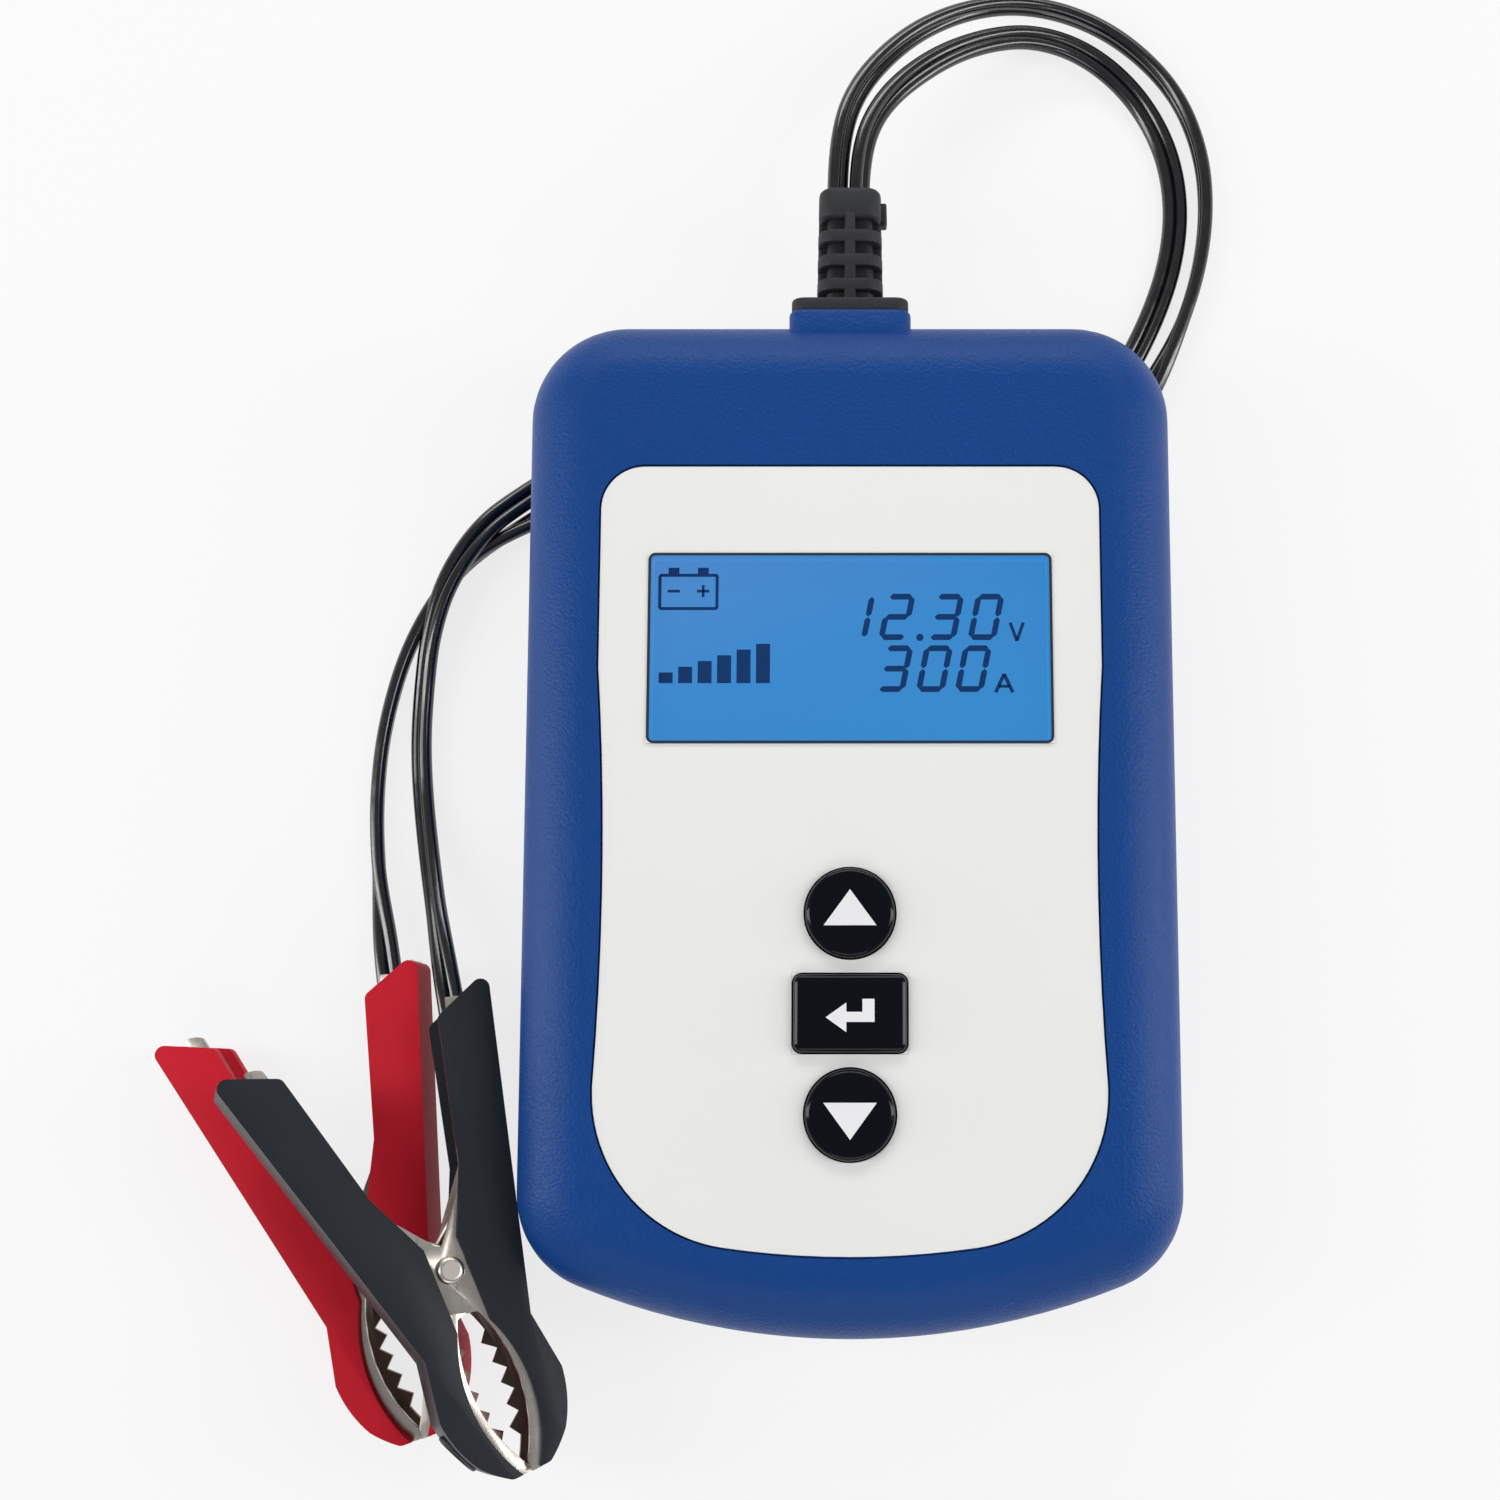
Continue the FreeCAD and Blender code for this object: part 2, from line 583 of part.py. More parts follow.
def strain_relief():
    """The moulded outlet: a flange each side of the case wall and a slotted, tapered sleeve."""
    body = new_body("strain_relief")
    wall_in = top_end - dim.case_wall - dim.outlet_play
    face = top_end + dim.boss_reach
    neck = new_sketch(body, "XZ_Plane", -face - dim.relief_flange_thick)
    draw_box(neck, 0, parting, dim.outlet_width - dim.outlet_play * 2,
             dim.outlet_height - dim.outlet_play * 2)
    pad(body, neck, face + dim.relief_flange_thick - wall_in + dim.relief_inner_flange)
    outer = new_sketch(body, "XZ_Plane", -face)
    draw_box(outer, 0, parting, dim.relief_flange_width, dim.relief_flange_height)
    pad(body, outer, dim.relief_flange_thick, True)
    inner = new_sketch(body, "XZ_Plane", -wall_in)
    draw_box(inner, 0, parting, dim.relief_flange_width, dim.relief_inner_height)
    pad(body, inner, dim.relief_inner_flange)
    sleeve_start = face + dim.relief_flange_thick
    sleeve = new_sketch(body, "XZ_Plane", -sleeve_start)
    draw_box(sleeve, 0, parting, dim.relief_width, dim.relief_height)
    feature = pad(body, sleeve, dim.relief_length, True)
    bind(feature, "TaperAngle", -dim.relief_taper)
    doc.recompute()
    slots = new_sketch(body, "XY_Plane", parting + dim.relief_height / 2)
    slot_width = (dim.relief_width - dim.relief_rib) / 2 - dim.relief_rail
    for row in range(4):
        y = sleeve_start + dim.relief_slot + dim.relief_slot_pitch * row
        for side in (-1, 1):
            draw_box(slots, (slot_width + dim.relief_rib) / 2 * side, y, slot_width, dim.relief_slot)
    pocket(body, slots, dim.relief_slot_depth)
    under = new_sketch(body, "XY_Plane", parting - dim.relief_height / 2)
    for row in range(4):
        y = sleeve_start + dim.relief_slot + dim.relief_slot_pitch * row
        for side in (-1, 1):
            draw_box(under, (slot_width + dim.relief_rib) / 2 * side, y, slot_width, dim.relief_slot)
    pocket(body, under, dim.relief_slot_depth, True)
    return wall_in - dim.relief_inner_flange


def lead_tails(start):
    """The four cores inside the case, from the outlet to their terminals under the board."""
    cores = []
    terminals = []
    for number in range(4):
        x = dim.core_pitch * (number - 1.5)
        core = cylinder(dim.core_radius, dim.core_length, x, start, parting)
        core.Placement.Rotation = Rotation(Vector(1, 0, 0), 90)
        cores.append(core)
        terminals.append(block(dim.terminal_size, dim.terminal_length,
                               board_low - parting + dim.core_radius, x,
                               start - dim.core_length - dim.terminal_length / 2,
                               parting - dim.core_radius))
    group("lead_tails", cores)
    group("lead_terminals", terminals)


TOOTH_COUNT = 5
SLANT = 1.1
SPRING_TURNS = 3
HEAD_ROUND = 0.7
TONGUE_ROUND = 0.45
GAP_MARKS = 120
BITE_TEETH_FROM = 0.14
BITE_TEETH_TO = 0.86
ROOT_MARKS = 4


def clip_placement(item, colour):
    """Put a piece of a clip, drawn about its rivet with the tips along +X, where that clip lies."""
    spot = "create(<<vector>>; %s; %s; %s)" % tuple(size.text for size in clip_places[colour])
    turn = "create(<<rotation>>; Sizes.%s_yaw; 0; Sizes.%s_roll)" % (colour, colour)
    item.setExpression("Placement", "create(<<placement>>; %s; %s)" % (spot, turn))
    return item


def bite_point(share, lift):
    """A place on the hollow edge between the jaws, from the tip at 0 to the root at 1."""
    x = dim.bite_end + (dim.bite_start - dim.bite_end) * share
    y = dim.tip_gap + (dim.bite_root - dim.tip_gap) * share
    return x, y + dim.bite_rise * (4 * share * (1 - share)) + lift


def tooth_row():
    """The outline of the teeth, with their roots sunk into the wall that carries them."""
    step = (BITE_TEETH_TO - BITE_TEETH_FROM) / TOOTH_COUNT
    spots = [bite_point(BITE_TEETH_FROM, dim.tooth_root)]
    for tooth in range(TOOTH_COUNT):
        valley = BITE_TEETH_FROM + step * tooth
        spots += [bite_point(valley, 0), bite_point(valley + step / 2, -dim.tooth_depth)]
    spots.append(bite_point(BITE_TEETH_TO, 0))
    span = BITE_TEETH_TO - BITE_TEETH_FROM
    spots += [bite_point(BITE_TEETH_TO - span * mark / ROOT_MARKS, dim.tooth_root)
              for mark in range(ROOT_MARKS)]
    return spots


def handle_spot(distance, depth):
    """A place in the fixed handle, by its distance from the rivet and its depth under the back."""
    back = dim.handle_spread - handle_slope * (dim.handle_length - distance)
    return -handle_slope * depth - distance, back - depth


def mirrored(corners, side):
    return [(x, as_size(y) * side) for x, y in corners]


def jaw(colour, label, side, half_width):
    """A stamped steel half: a channel with its back outside, one toothed wall and an ear each side."""
    body = new_body("%s_%s" % (colour, label))
    inner_end = dim.handle_spread - dim.handle_depth - handle_slope * dim.handle_slant
    corners = [(-dim.handle_length, dim.handle_spread), (dim.neck_reach, dim.neck_height),
               (dim.nose_reach, dim.nose_height), (dim.brow_reach, dim.brow_height),
               (dim.tip_reach, dim.tip_height), (dim.tip_reach, dim.tip_gap),
               (dim.bite_end, dim.tip_gap), (dim.bite_start, dim.bite_root),
               (dim.ear_reach, -dim.ear_drop), (-dim.ear_tip_reach, -dim.ear_tip_drop),
               (-dim.ear_notch, as_size(0)), (-dim.heel_reach, dim.heel_height),
               (dim.handle_slant - dim.handle_length, inner_end)]
    bow = dim.nose_round * -side
    bite = bow_radius((dim.bite_end - dim.bite_start) / 2, dim.bite_rise) * side
    profile = draw_outline(new_sketch(body, "XY_Plane"), mirrored(corners, side),
                           {2: bow, 3: bow, 6: bite})
    pad(body, profile, half_width * 2, both=True)
    steel = dim.clip_steel
    beyond = dim.ear_drop + dim.handle_depth
    hollow = [(-dim.handle_length - steel, dim.handle_spread - steel),
              (dim.neck_reach, dim.neck_height - steel), (dim.nose_reach, dim.nose_height - steel),
              (dim.brow_reach - steel / 2, dim.brow_height - steel),
              (dim.tip_reach - steel, dim.tip_height - steel / 2), (dim.tip_reach - steel, -beyond),
              (-dim.handle_length - steel, -beyond)]
    channel = draw_outline(new_sketch(body, "XY_Plane"), mirrored(hollow, side), {2: bow, 3: bow})
    pocket(body, channel, (half_width - steel) * 2, both=True)
    bore = draw_circle(new_sketch(body, "XY_Plane"), 0, 0, dim.rivet_radius + dim.rivet_play)
    pocket(body, bore, half_width * 3, both=True)
    teeth = new_sketch(body, "XY_Plane", -half_width)
    pad(body, draw_outline(teeth, mirrored(tooth_row(), side)), steel)
    if label == "moving_jaw":
        low = dim.tongue_depth + dim.tongue_width
        tongue = [handle_spot(dim.tongue_start, dim.tongue_depth), handle_spot(dim.tongue_start, low),
                  handle_spot(dim.tongue_end, low), handle_spot(dim.tongue_end, dim.tongue_depth)]
        plate = new_sketch(body, "XY_Plane", half_width)
        pad(body, draw_outline(plate, mirrored(tongue, side)), steel, True)
        rounded = [tongue[2], tongue[3]]
        round_edges(body, dim.tongue_width * TONGUE_ROUND, upright_at(*mirrored(rounded, side)))
    else:
        tab = [handle_spot(dim.tab_end, 0), handle_spot(dim.tab_start, 0),
               handle_spot(dim.tab_start, dim.tab_drop), handle_spot(dim.tab_end, dim.tab_drop)]
        pad(body, draw_outline(new_sketch(body, "XY_Plane", dim.tab_rise), tab), steel)
    return clip_placement(body, colour)


def cover(colour, label, side, half_width):
    """The soft insulating cover of one half, which leaves the toothed edges and the ears bare."""
    body = new_body("%s_%s" % (colour, label))
    grown = dim.cover_gap + dim.cover_wall
    end = dim.handle_length + dim.cover_overhang
    lip = dim.cover_lip
    flare = handle_slope * dim.cover_overhang
    inner_end = dim.handle_spread - dim.handle_depth - handle_slope * dim.handle_slant
    front = dim.tip_reach - dim.tip_gap
    corners = [(-end, dim.handle_spread + flare + grown), (dim.neck_reach, dim.neck_height + grown),
               (dim.nose_reach, dim.nose_height + grown),
               (dim.brow_reach + grown / 2, dim.brow_height + grown),
               (front, dim.tip_height + grown), (front, dim.tip_gap + lip),
               (dim.cover_throat, dim.cover_waist), (-dim.cover_shoulder, dim.cover_waist),
               (-dim.heel_reach, dim.heel_height - lip), (dim.handle_slant - end, inner_end - lip)]
    bow = dim.nose_round * -side
    hollow_bow = bow_radius((front - dim.cover_throat) / 2, dim.bite_rise) * side
    profile = draw_outline(new_sketch(body, "XY_Plane"), mirrored(corners, side),
                           {2: bow, 3: bow, 5: hollow_bow})
    outside = dim.clip_half_width + grown
    pad(body, profile, outside * 2, both=True)
    blunt = [corners[0], corners[4], corners[9]]
    round_edges(body, dim.cover_round, upright_at(*mirrored(blunt, side)))
    gap = dim.cover_gap
    beyond = dim.ear_drop + dim.handle_depth
    far = dim.tip_reach + grown
    hollow = [(-end - lip, dim.handle_spread + flare + handle_slope * lip + gap),
              (dim.neck_reach, dim.neck_height + gap), (dim.nose_reach, dim.nose_height + gap),
              (dim.brow_reach + gap, dim.brow_height + gap),
              (dim.tip_reach + gap, dim.tip_height + gap), (far, dim.tip_height + gap),
              (far, -beyond), (-end - lip, -beyond)]
    channel = draw_outline(new_sketch(body, "XY_Plane"), mirrored(hollow, side), {2: bow, 3: bow})
    pocket(body, channel, (half_width + gap) * 2, both=True)
    if label == "moving_cover":
        room = draw_circle(new_sketch(body, "XY_Plane"), 0, 0, dim.ear_room)
        pocket(body, room, (dim.clip_half_width + gap) * 2, both=True)
    return clip_placement(body, colour)


def rivet(colour):
    body = new_body(colour + "_rivet")
    shank = dim.clip_half_width + dim.cover_gap / 2
    pad(body, draw_circle(new_sketch(body, "XY_Plane"), 0, 0, dim.rivet_radius), shank * 2, both=True)
    for back in (False, True):
        head = new_sketch(body, "XY_Plane", -shank if back else shank)
        pad(body, draw_circle(head, 0, 0, dim.rivet_head), dim.rivet_head_height, back)
    ends = shank.value + dim.rivet_head_height.value
    round_edges(body, dim.rivet_head_height * HEAD_ROUND,
                lambda edge: flat_at(ends)(edge) or flat_at(-ends)(edge))
    return clip_placement(body, colour)


def crimp(colour):
    """The barrel that holds the lead's end in the fixed handle, square to the handle."""
    body = new_body(colour + "_crimp")
    high = dim.clip_steel * SLANT + dim.cover_gap
    low = high + dim.crimp_height
    corners = [handle_spot(dim.crimp_end, high), handle_spot(dim.crimp_start, high),
               handle_spot(dim.crimp_start, low), handle_spot(dim.crimp_end, low)]
    pad(body, draw_outline(new_sketch(body, "XY_Plane"), corners), dim.crimp_width, both=True)
    return clip_placement(body, colour)


def spring(colour):
    """The torsion spring round the rivet, with a leg against the back of each half."""
    radius = dim.spring_radius.value
    leg_x = -dim.spring_leg.value
    back = dim.handle_spread.value - handle_slope.value * (dim.handle_length.value + leg_x)
    leg_y = back - dim.clip_steel.value * SLANT - dim.spring_wire.value - dim.cover_gap.value
    reach = math.hypot(leg_x, leg_y)
    wrap = math.acos(radius / reach)
    start = math.atan2(leg_y, leg_x) + wrap
    finish = math.atan2(-leg_y, leg_x) - wrap + SPRING_TURNS * 2 * math.pi
    turns = (finish - start) / (2 * math.pi)
    half_rise = dim.spring_pitch.value * turns / 2

    def coil(share):
        angle = start + (finish - start) * share
        return Vector(radius * math.cos(angle), radius * math.sin(angle), half_rise * (2 * share - 1))
    quarters = math.ceil(turns * 4)
    edges = [Part.LineSegment(Vector(leg_x, leg_y, -half_rise), coil(0)).toShape()]
    for quarter in range(quarters):
        edges.append(Part.Arc(coil(quarter / quarters), coil((quarter + 0.5) / quarters),
                              coil((quarter + 1) / quarters)).toShape())
    edges.append(Part.LineSegment(coil(1), Vector(leg_x, -leg_y, half_rise)).toShape())
    path = Part.Wire(edges)
    first = path.OrderedEdges[0]
    section = Part.Wire(Part.Circle(first.valueAt(first.FirstParameter),
                                    first.tangentAt(first.FirstParameter),
                                    dim.spring_wire.value).toShape())
    item = doc.addObject("Part::Feature", colour + "_spring")
    item.Shape = path.makePipeShell([section], True, False)
    marks = [coil(number / GAP_MARKS) for number in range(GAP_MARKS + 1)]
    apart = int(GAP_MARKS / turns / 2)
    gap = min(one.distanceToPoint(other) for number, one in enumerate(marks)
              for other in marks[number + apart:]) - 2 * dim.spring_wire.value
    print("%s spring: %.2f turns, least gap to itself %.2f mm" % (colour, turns, gap))
    return clip_placement(keep(item, colour + "_spring"), colour)


def clip(colour):
    """One test clip: a fixed half with the lead and a moving half nested between its walls."""
    wide = dim.clip_half_width
    narrow = dim.clip_half_width - dim.clip_steel - dim.clip_nest_gap
    jaw(colour, "fixed_jaw", 1, wide)
    jaw(colour, "moving_jaw", -1, narrow)
    cover(colour, "fixed_cover", 1, wide)
    cover(colour, "moving_cover", -1, narrow)
    rivet(colour)
    crimp(colour)
    spring(colour)


# Routes of the two leads, from the outlet round the loop, under the case and into the clips
LEAD_ROUTES = {
    "red_lead": [
        (-2.3, 85.9, 15.5), (-2.3, 93.6, 15.5), (0.6, 103.0, 13.9), (7.6, 112.0, 10.8),
        (15.6, 117.8, 7.6), (24.2, 120.6, 4.8), (33.0, 119.8, 2.6), (41.0, 115.6, 1.4),
        (47.8, 108.2, 1.0), (51.2, 99.0, 1.0), (51.8, 89.5, 1.0), (50.2, 79.5, 1.0),
        (46.5, 69.5, 1.0), (41.0, 59.5, 1.0), (33.5, 50.5, 1.0), (23.5, 45.0, 1.0),
        (11.0, 42.4, 1.0), (-4.0, 42.6, 1.0), (-18.0, 45.6, 1.0), (-30.0, 48.0, 1.0),
        (-38.5, 47.0, 1.0), (-46.0, 43.2, 1.0), (-55.0, 37.4, 1.0), (-61.6, 27.0, 1.0),
        (-65.0, 14.6, 1.0), (-65.8, 3.0, 1.1), (-64.8, -8.0, 2.0), (-63.2, -17.3, 3.9),
        (-61.76, -25.62, 4.6), (-61.12, -34.24, 4.6)],
    "black_lead": [
        (1.7, 85.9, 15.5), (1.7, 92.6, 15.5), (4.8, 101.0, 13.9), (11.6, 108.6, 10.8),
        (19.2, 113.4, 7.6), (26.8, 115.6, 4.8), (34.6, 114.0, 2.6), (41.4, 108.6, 1.4),
        (46.0, 100.6, 1.0), (47.6, 91.6, 1.0), (46.6, 82.4, 1.0), (43.4, 73.2, 1.0),
        (38.4, 63.8, 1.0), (31.0, 55.2, 1.0), (21.0, 49.7, 1.0), (9.0, 46.9, 1.0),
        (-5.0, 47.2, 1.0), (-19.0, 50.3, 1.0), (-31.0, 53.0, 1.0), (-39.5, 51.6, 1.0),
        (-46.2, 47.2, 1.6), (-51.6, 42.2, 3.9), (-56.4, 34.6, 3.9), (-58.6, 27.0, 3.4),
        (-59.6, 19.5, 1.6), (-59.9, 11.5, 1.0), (-59.2, 3.0, 1.3), (-57.2, -7.8, 4.2),
        (-54.4, -18.6, 9.3), (-51.82, -29.01, 11.70), (-50.40, -37.41, 12.47)],
}
ARC_SHARE = 0.45


def lead_path(points):
    """Straight runs joined by the largest tangent arcs that the runs leave room for."""
    spots = [Vector(*point) for point in points]
    edges = []
    here = spots[0]
    for before, corner, after in zip(spots, spots[1:], spots[2:]):
        into = corner - before
        out = after - corner
        turn = into.getAngle(out)
        cut = ARC_SHARE * min(into.Length, out.Length)
        radius = cut / math.tan(turn / 2)
        start = corner - into.normalize() * cut
        end = corner + out.normalize() * cut
        towards = (out - into).normalize()
        middle = corner + towards * (radius / math.cos(turn / 2) - radius)
        edges.append(Part.LineSegment(here, start).toShape())
        edges.append(Part.Arc(start, middle, end).toShape())
        here = end
    edges.append(Part.LineSegment(here, spots[-1]).toShape())
    return Part.Wire(edges)


def lead(label, points):
    """A flat twin lead: two round cores side by side, swept with its flat side level."""
    path = lead_path(points)
    start = Vector(*points[0])
    core, half = dim.lead_core.value, dim.lead_pitch.value / 2
    notch = math.sqrt(core * core - half * half)
    ahead = (Vector(*points[1]) - start).normalize()
    across = ahead.cross(Vector(0, 0, 1)).normalize()
    upward = across.cross(ahead)
    top, bottom = start + upward * notch, start - upward * notch
    section = Part.Wire([Part.Arc(top, start + across * (half + core), bottom).toShape(),
                         Part.Arc(bottom, start - across * (half + core), top).toShape()])
    shell = Part.BRepOffsetAPI.MakePipeShell(path)
    shell.setBiNormalMode(Vector(0, 0, 1))
    shell.add(section)
    shell.build()
    shell.makeSolid()
    item = doc.addObject("Part::Feature", label)
    item.Shape = shell.shape()
    ideal = Part.Face(section).Area * path.Length
    print("%s: length %.1f, volume %.1f of %.1f" % (label, path.Length, item.Shape.Volume, ideal))
    return keep(item, label)


front_shell()
rear_shell()
face_panel()
display()
keys()
board_and_parts()
lead_tails(strain_relief())
for colour in ("red", "black"):
    clip(colour)
for label, points in LEAD_ROUTES.items():
    lead(label, points)
doc.recompute()

for item in doc.Objects:
    if "Invalid" in item.State or "Error" in item.State:
        raise RuntimeError("%s failed: %s" % (item.Label, item.State))
for label, item in parts.items():
    if item.Shape.isNull() or not item.Shape.isValid():
        raise RuntimeError(label + " has no valid shape")

os.makedirs("parts", exist_ok=True)
for label, item in parts.items():
    item.Shape.exportStep("parts/%s.step" % label)
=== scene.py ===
"""Dressed battery tester: a moulded case with a lit display and keys, twin leads and two sprung clips."""
import json
import logging
import math
from dataclasses import dataclass, field
from enum import Enum
from typing import Callable, Sequence

import bmesh
import bpy
from mathutils import Matrix, Vector


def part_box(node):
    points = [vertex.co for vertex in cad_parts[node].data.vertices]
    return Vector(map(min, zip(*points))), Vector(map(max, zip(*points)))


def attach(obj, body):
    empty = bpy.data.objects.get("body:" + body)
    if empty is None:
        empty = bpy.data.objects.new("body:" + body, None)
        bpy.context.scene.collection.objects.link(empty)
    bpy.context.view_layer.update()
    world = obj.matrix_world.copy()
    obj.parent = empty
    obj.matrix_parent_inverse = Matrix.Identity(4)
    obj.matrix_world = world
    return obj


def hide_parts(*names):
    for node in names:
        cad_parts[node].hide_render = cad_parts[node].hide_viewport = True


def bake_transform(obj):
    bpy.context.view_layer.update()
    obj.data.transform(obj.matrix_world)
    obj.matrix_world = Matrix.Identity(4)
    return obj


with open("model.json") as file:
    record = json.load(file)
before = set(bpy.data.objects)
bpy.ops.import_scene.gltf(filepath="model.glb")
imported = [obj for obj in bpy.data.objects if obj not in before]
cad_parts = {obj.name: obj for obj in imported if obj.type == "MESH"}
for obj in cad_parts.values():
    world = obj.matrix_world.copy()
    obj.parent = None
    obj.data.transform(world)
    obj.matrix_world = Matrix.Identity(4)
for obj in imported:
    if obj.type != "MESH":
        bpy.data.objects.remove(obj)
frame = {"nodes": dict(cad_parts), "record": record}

LOG = logging.getLogger("battery_tester")
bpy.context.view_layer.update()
MM = 0.001
TO_METRES = Matrix.Diagonal((MM, MM, MM, 1.0))
# Points closer than this, in millimetres, are one
MERGE = 0.004
# Greatest angle, in degrees, between faces that still shade as one surface
CREASE = 35.0
ROUND_CREASE = 60.0
# The values between which most of a noise lies
NOISE_RANGE = (0.3, 0.7)
# Name of the mesh attribute that marks where steel gets painted shade, a dull brown for shade and the
# painted reflection of nearby dark parts
PAINTED_SHADE = "painted_shade"
WHITE = (1.0, 1.0, 1.0, 1.0)

Spot = tuple[float, float]
Point = tuple[float, float, float]
Colour = tuple[float, float, float]
Light = tuple[float, float, float, float]
Stroke = tuple[Spot, Spot, float]
Socket = bpy.types.NodeSocket
Mesh = bmesh.types.BMesh


class Body(Enum):
    """The moving bodies of the tester."""

    TESTER = "tester"
    UP_KEY = "up_key"
    ENTER_KEY = "enter_key"
    DOWN_KEY = "down_key"
    RED_HALF = "red_moving_half"
    BLACK_HALF = "black_moving_half"


class Half(Enum):
    """The halves of a clip, by the side of its middle on which they lie."""

    FIXED = 1
    MOVING = -1


def linear(colour: Colour, gain: float = 1.0) -> Light:
    """Turn a colour of 0 to 255 as it looks on screen into the shader's values, by the sRGB curve.

    Args:
        colour: Red, green and blue as seen.
        gain: Factor on the light that comes back.

    Returns:
        Red, green, blue and full alpha for a shader socket.
    """
    shares = [value / 255 for value in colour]
    plain = [share / 12.92 if share <= 0.04045 else ((share + 0.055) / 1.055) ** 2.4 for share in shares]
    return tuple(min(1.0, value * gain) for value in plain) + (1.0,)


def eased(share: float) -> float:
    """Return a share that starts and ends gently."""
    return share * share * (3 - 2 * share)


def placed(name: str, data: bpy.types.ID) -> bpy.types.Object:
    """Put data into the scene.

    Args:
        name: Name of the new object.
        data: Its mesh, lamp or camera.

    Returns:
        The new object.
    """
    item = bpy.data.objects.new(name, data)
    bpy.context.scene.collection.objects.link(item)
    return item


def finished(mesh: Mesh, name: str) -> bpy.types.Object:
    """Put a finished mesh into the scene.

    Args:
        mesh: The shape, in metres, in its place.
        name: Name of the new object.

    Returns:
        The new object.
    """
    data = bpy.data.meshes.new(name)
    mesh.to_mesh(data)
    mesh.free()
    return placed(name, data)


def closed_line(mesh: Mesh, corners: Sequence[bmesh.types.BMVert]) -> list[bmesh.types.BMEdge]:
    """Return new edges that join vertices in order and close the line."""
    return [mesh.edges.new(ends) for ends in zip([corners[-1], *corners], corners)]


class Nodes:
    """A node tree under way."""

    def __init__(self, tree: bpy.types.NodeTree) -> None:
        """Start with the tree emptied."""
        self.tree = tree
        self.tree.nodes.clear()

    def add(self, kind: str, settings: dict | None = None, **choices: str) -> bpy.types.Node:
        """Add a node, make its choices and set or link its inputs.

        Args:
            kind: Blender's name of the node type.
            settings: Values or output sockets by the name or number of the input.
            choices: What the node is set to beside its inputs.

        Returns:
            The new node.
        """
        node = self.tree.nodes.new(kind)
        for name, choice in choices.items():
            setattr(node, name, choice)
        for name, value in (settings or {}).items():
            if isinstance(value, Socket):
                self.tree.links.new(value, node.inputs[name])
            else:
                node.inputs[name].default_value = value
        return node

    def maths(self, operation: str, *values: Socket | float) -> Socket:
        """Return the result of an operation on values or sockets."""
        return self.add("ShaderNodeMath", dict(enumerate(values)), operation=operation).outputs["Value"]

    def rescale(self, value: Socket, source: Spot, result: Spot = (0.0, 1.0)) -> Socket:
        """Bring one range of values into another, and hold it at its ends.

        Args:
            value: Socket with the values.
            source: The range that they come from.
            result: The range that they go to.

        Returns:
            The socket with the new values.
        """
        node = self.add("ShaderNodeMapRange", {
            "Value": value, "From Min": source[0], "From Max": source[1],
            "To Min": result[0], "To Max": result[1]})
        return node.outputs["Result"]

    def mix(self, share: Socket, first: bpy.types.Node, second: bpy.types.Node) -> Socket:
        """Return a mix of two shader nodes, by the share of the second."""
        node = self.add("ShaderNodeMixShader", {0: share, 1: first.outputs[0], 2: second.outputs[0]})
        return node.outputs["Shader"]

    def seen(self) -> Socket:
        """Tell what is seen from what only lights.

        Returns:
            A socket that is 1 for rays of the camera, of mirrors and through glass.
        """
        path = self.add("ShaderNodeLightPath").outputs
        mirrored = self.maths("MAXIMUM", path["Is Camera Ray"], path["Is Glossy Ray"])
        return self.maths("MAXIMUM", mirrored, path["Is Transmission Ray"])


class Shader(Nodes):
    """A material under way, with short calls for the nodes that the finishes share."""

    def __init__(self, name: str) -> None:
        """Start an empty material with its output and its object coordinates.

        Args:
            name: Name of the material.
        """
        self.material = bpy.data.materials.new(name)
        self.material.use_nodes = True
        super().__init__(self.material.node_tree)
        self.output = self.add("ShaderNodeOutputMaterial")
        self.coords = self.add("ShaderNodeTexCoord").outputs["Object"]

    def noise(self, scale: float, detail: float = 3.0, stretch: Point | None = None) -> Socket:
        """Lay noise over the object, drawn out along an axis if stretch is given.

        Args:
            scale: Features per metre.
            detail: Octaves of finer noise.
            stretch: Factors on the coordinates before the noise.

        Returns:
            The socket with the noise, from 0 to 1.
        """
        place = self.coords
        if stretch:
            place = self.add("ShaderNodeMapping", {"Vector": place, "Scale": stretch}).outputs["Vector"]
        node = self.add("ShaderNodeTexNoise", {"Vector": place, "Scale": scale, "Detail": detail})
        return node.outputs["Fac"]

    def ramp(self, share: Socket, stops: Sequence[tuple[float, Light]]) -> Socket:
        """Turn a share into a colour by way of stops.

        Args:
            share: Socket with values from 0 to 1.
            stops: Places and their colours.

        Returns:
            The socket with the colour.
        """
        node = self.add("ShaderNodeValToRGB", {"Fac": share})
        points = node.color_ramp.elements
        while len(points) < len(stops):
            points.new(1.0)
        for point, (place, colour) in zip(points, stops):
            point.position = place
            point.color = colour
        return node.outputs["Color"]

    def bump(self, height: Socket, depth: float, strength: float = 1.0) -> Socket:
        """Bend the surface's normal by a height.

        Args:
            height: Socket with the height from 0 to 1.
            depth: Height in metres that 1 stands for.
            strength: Share of the effect.

        Returns:
            The socket with the bent normal.
        """
        node = self.add("ShaderNodeBump", {"Height": height, "Distance": depth, "Strength": strength})
        return node.outputs["Normal"]

    def end(self, surface: Socket) -> bpy.types.Material:
        """Return the material, with its surface linked."""
        self.tree.links.new(surface, self.output.inputs["Surface"])
        return self.material

    def close(self, settings: dict) -> bpy.types.Material:
        """Return the material, with one shader of the given inputs as its surface."""
        return self.end(self.add("ShaderNodeBsdfPrincipled", settings).outputs["BSDF"])


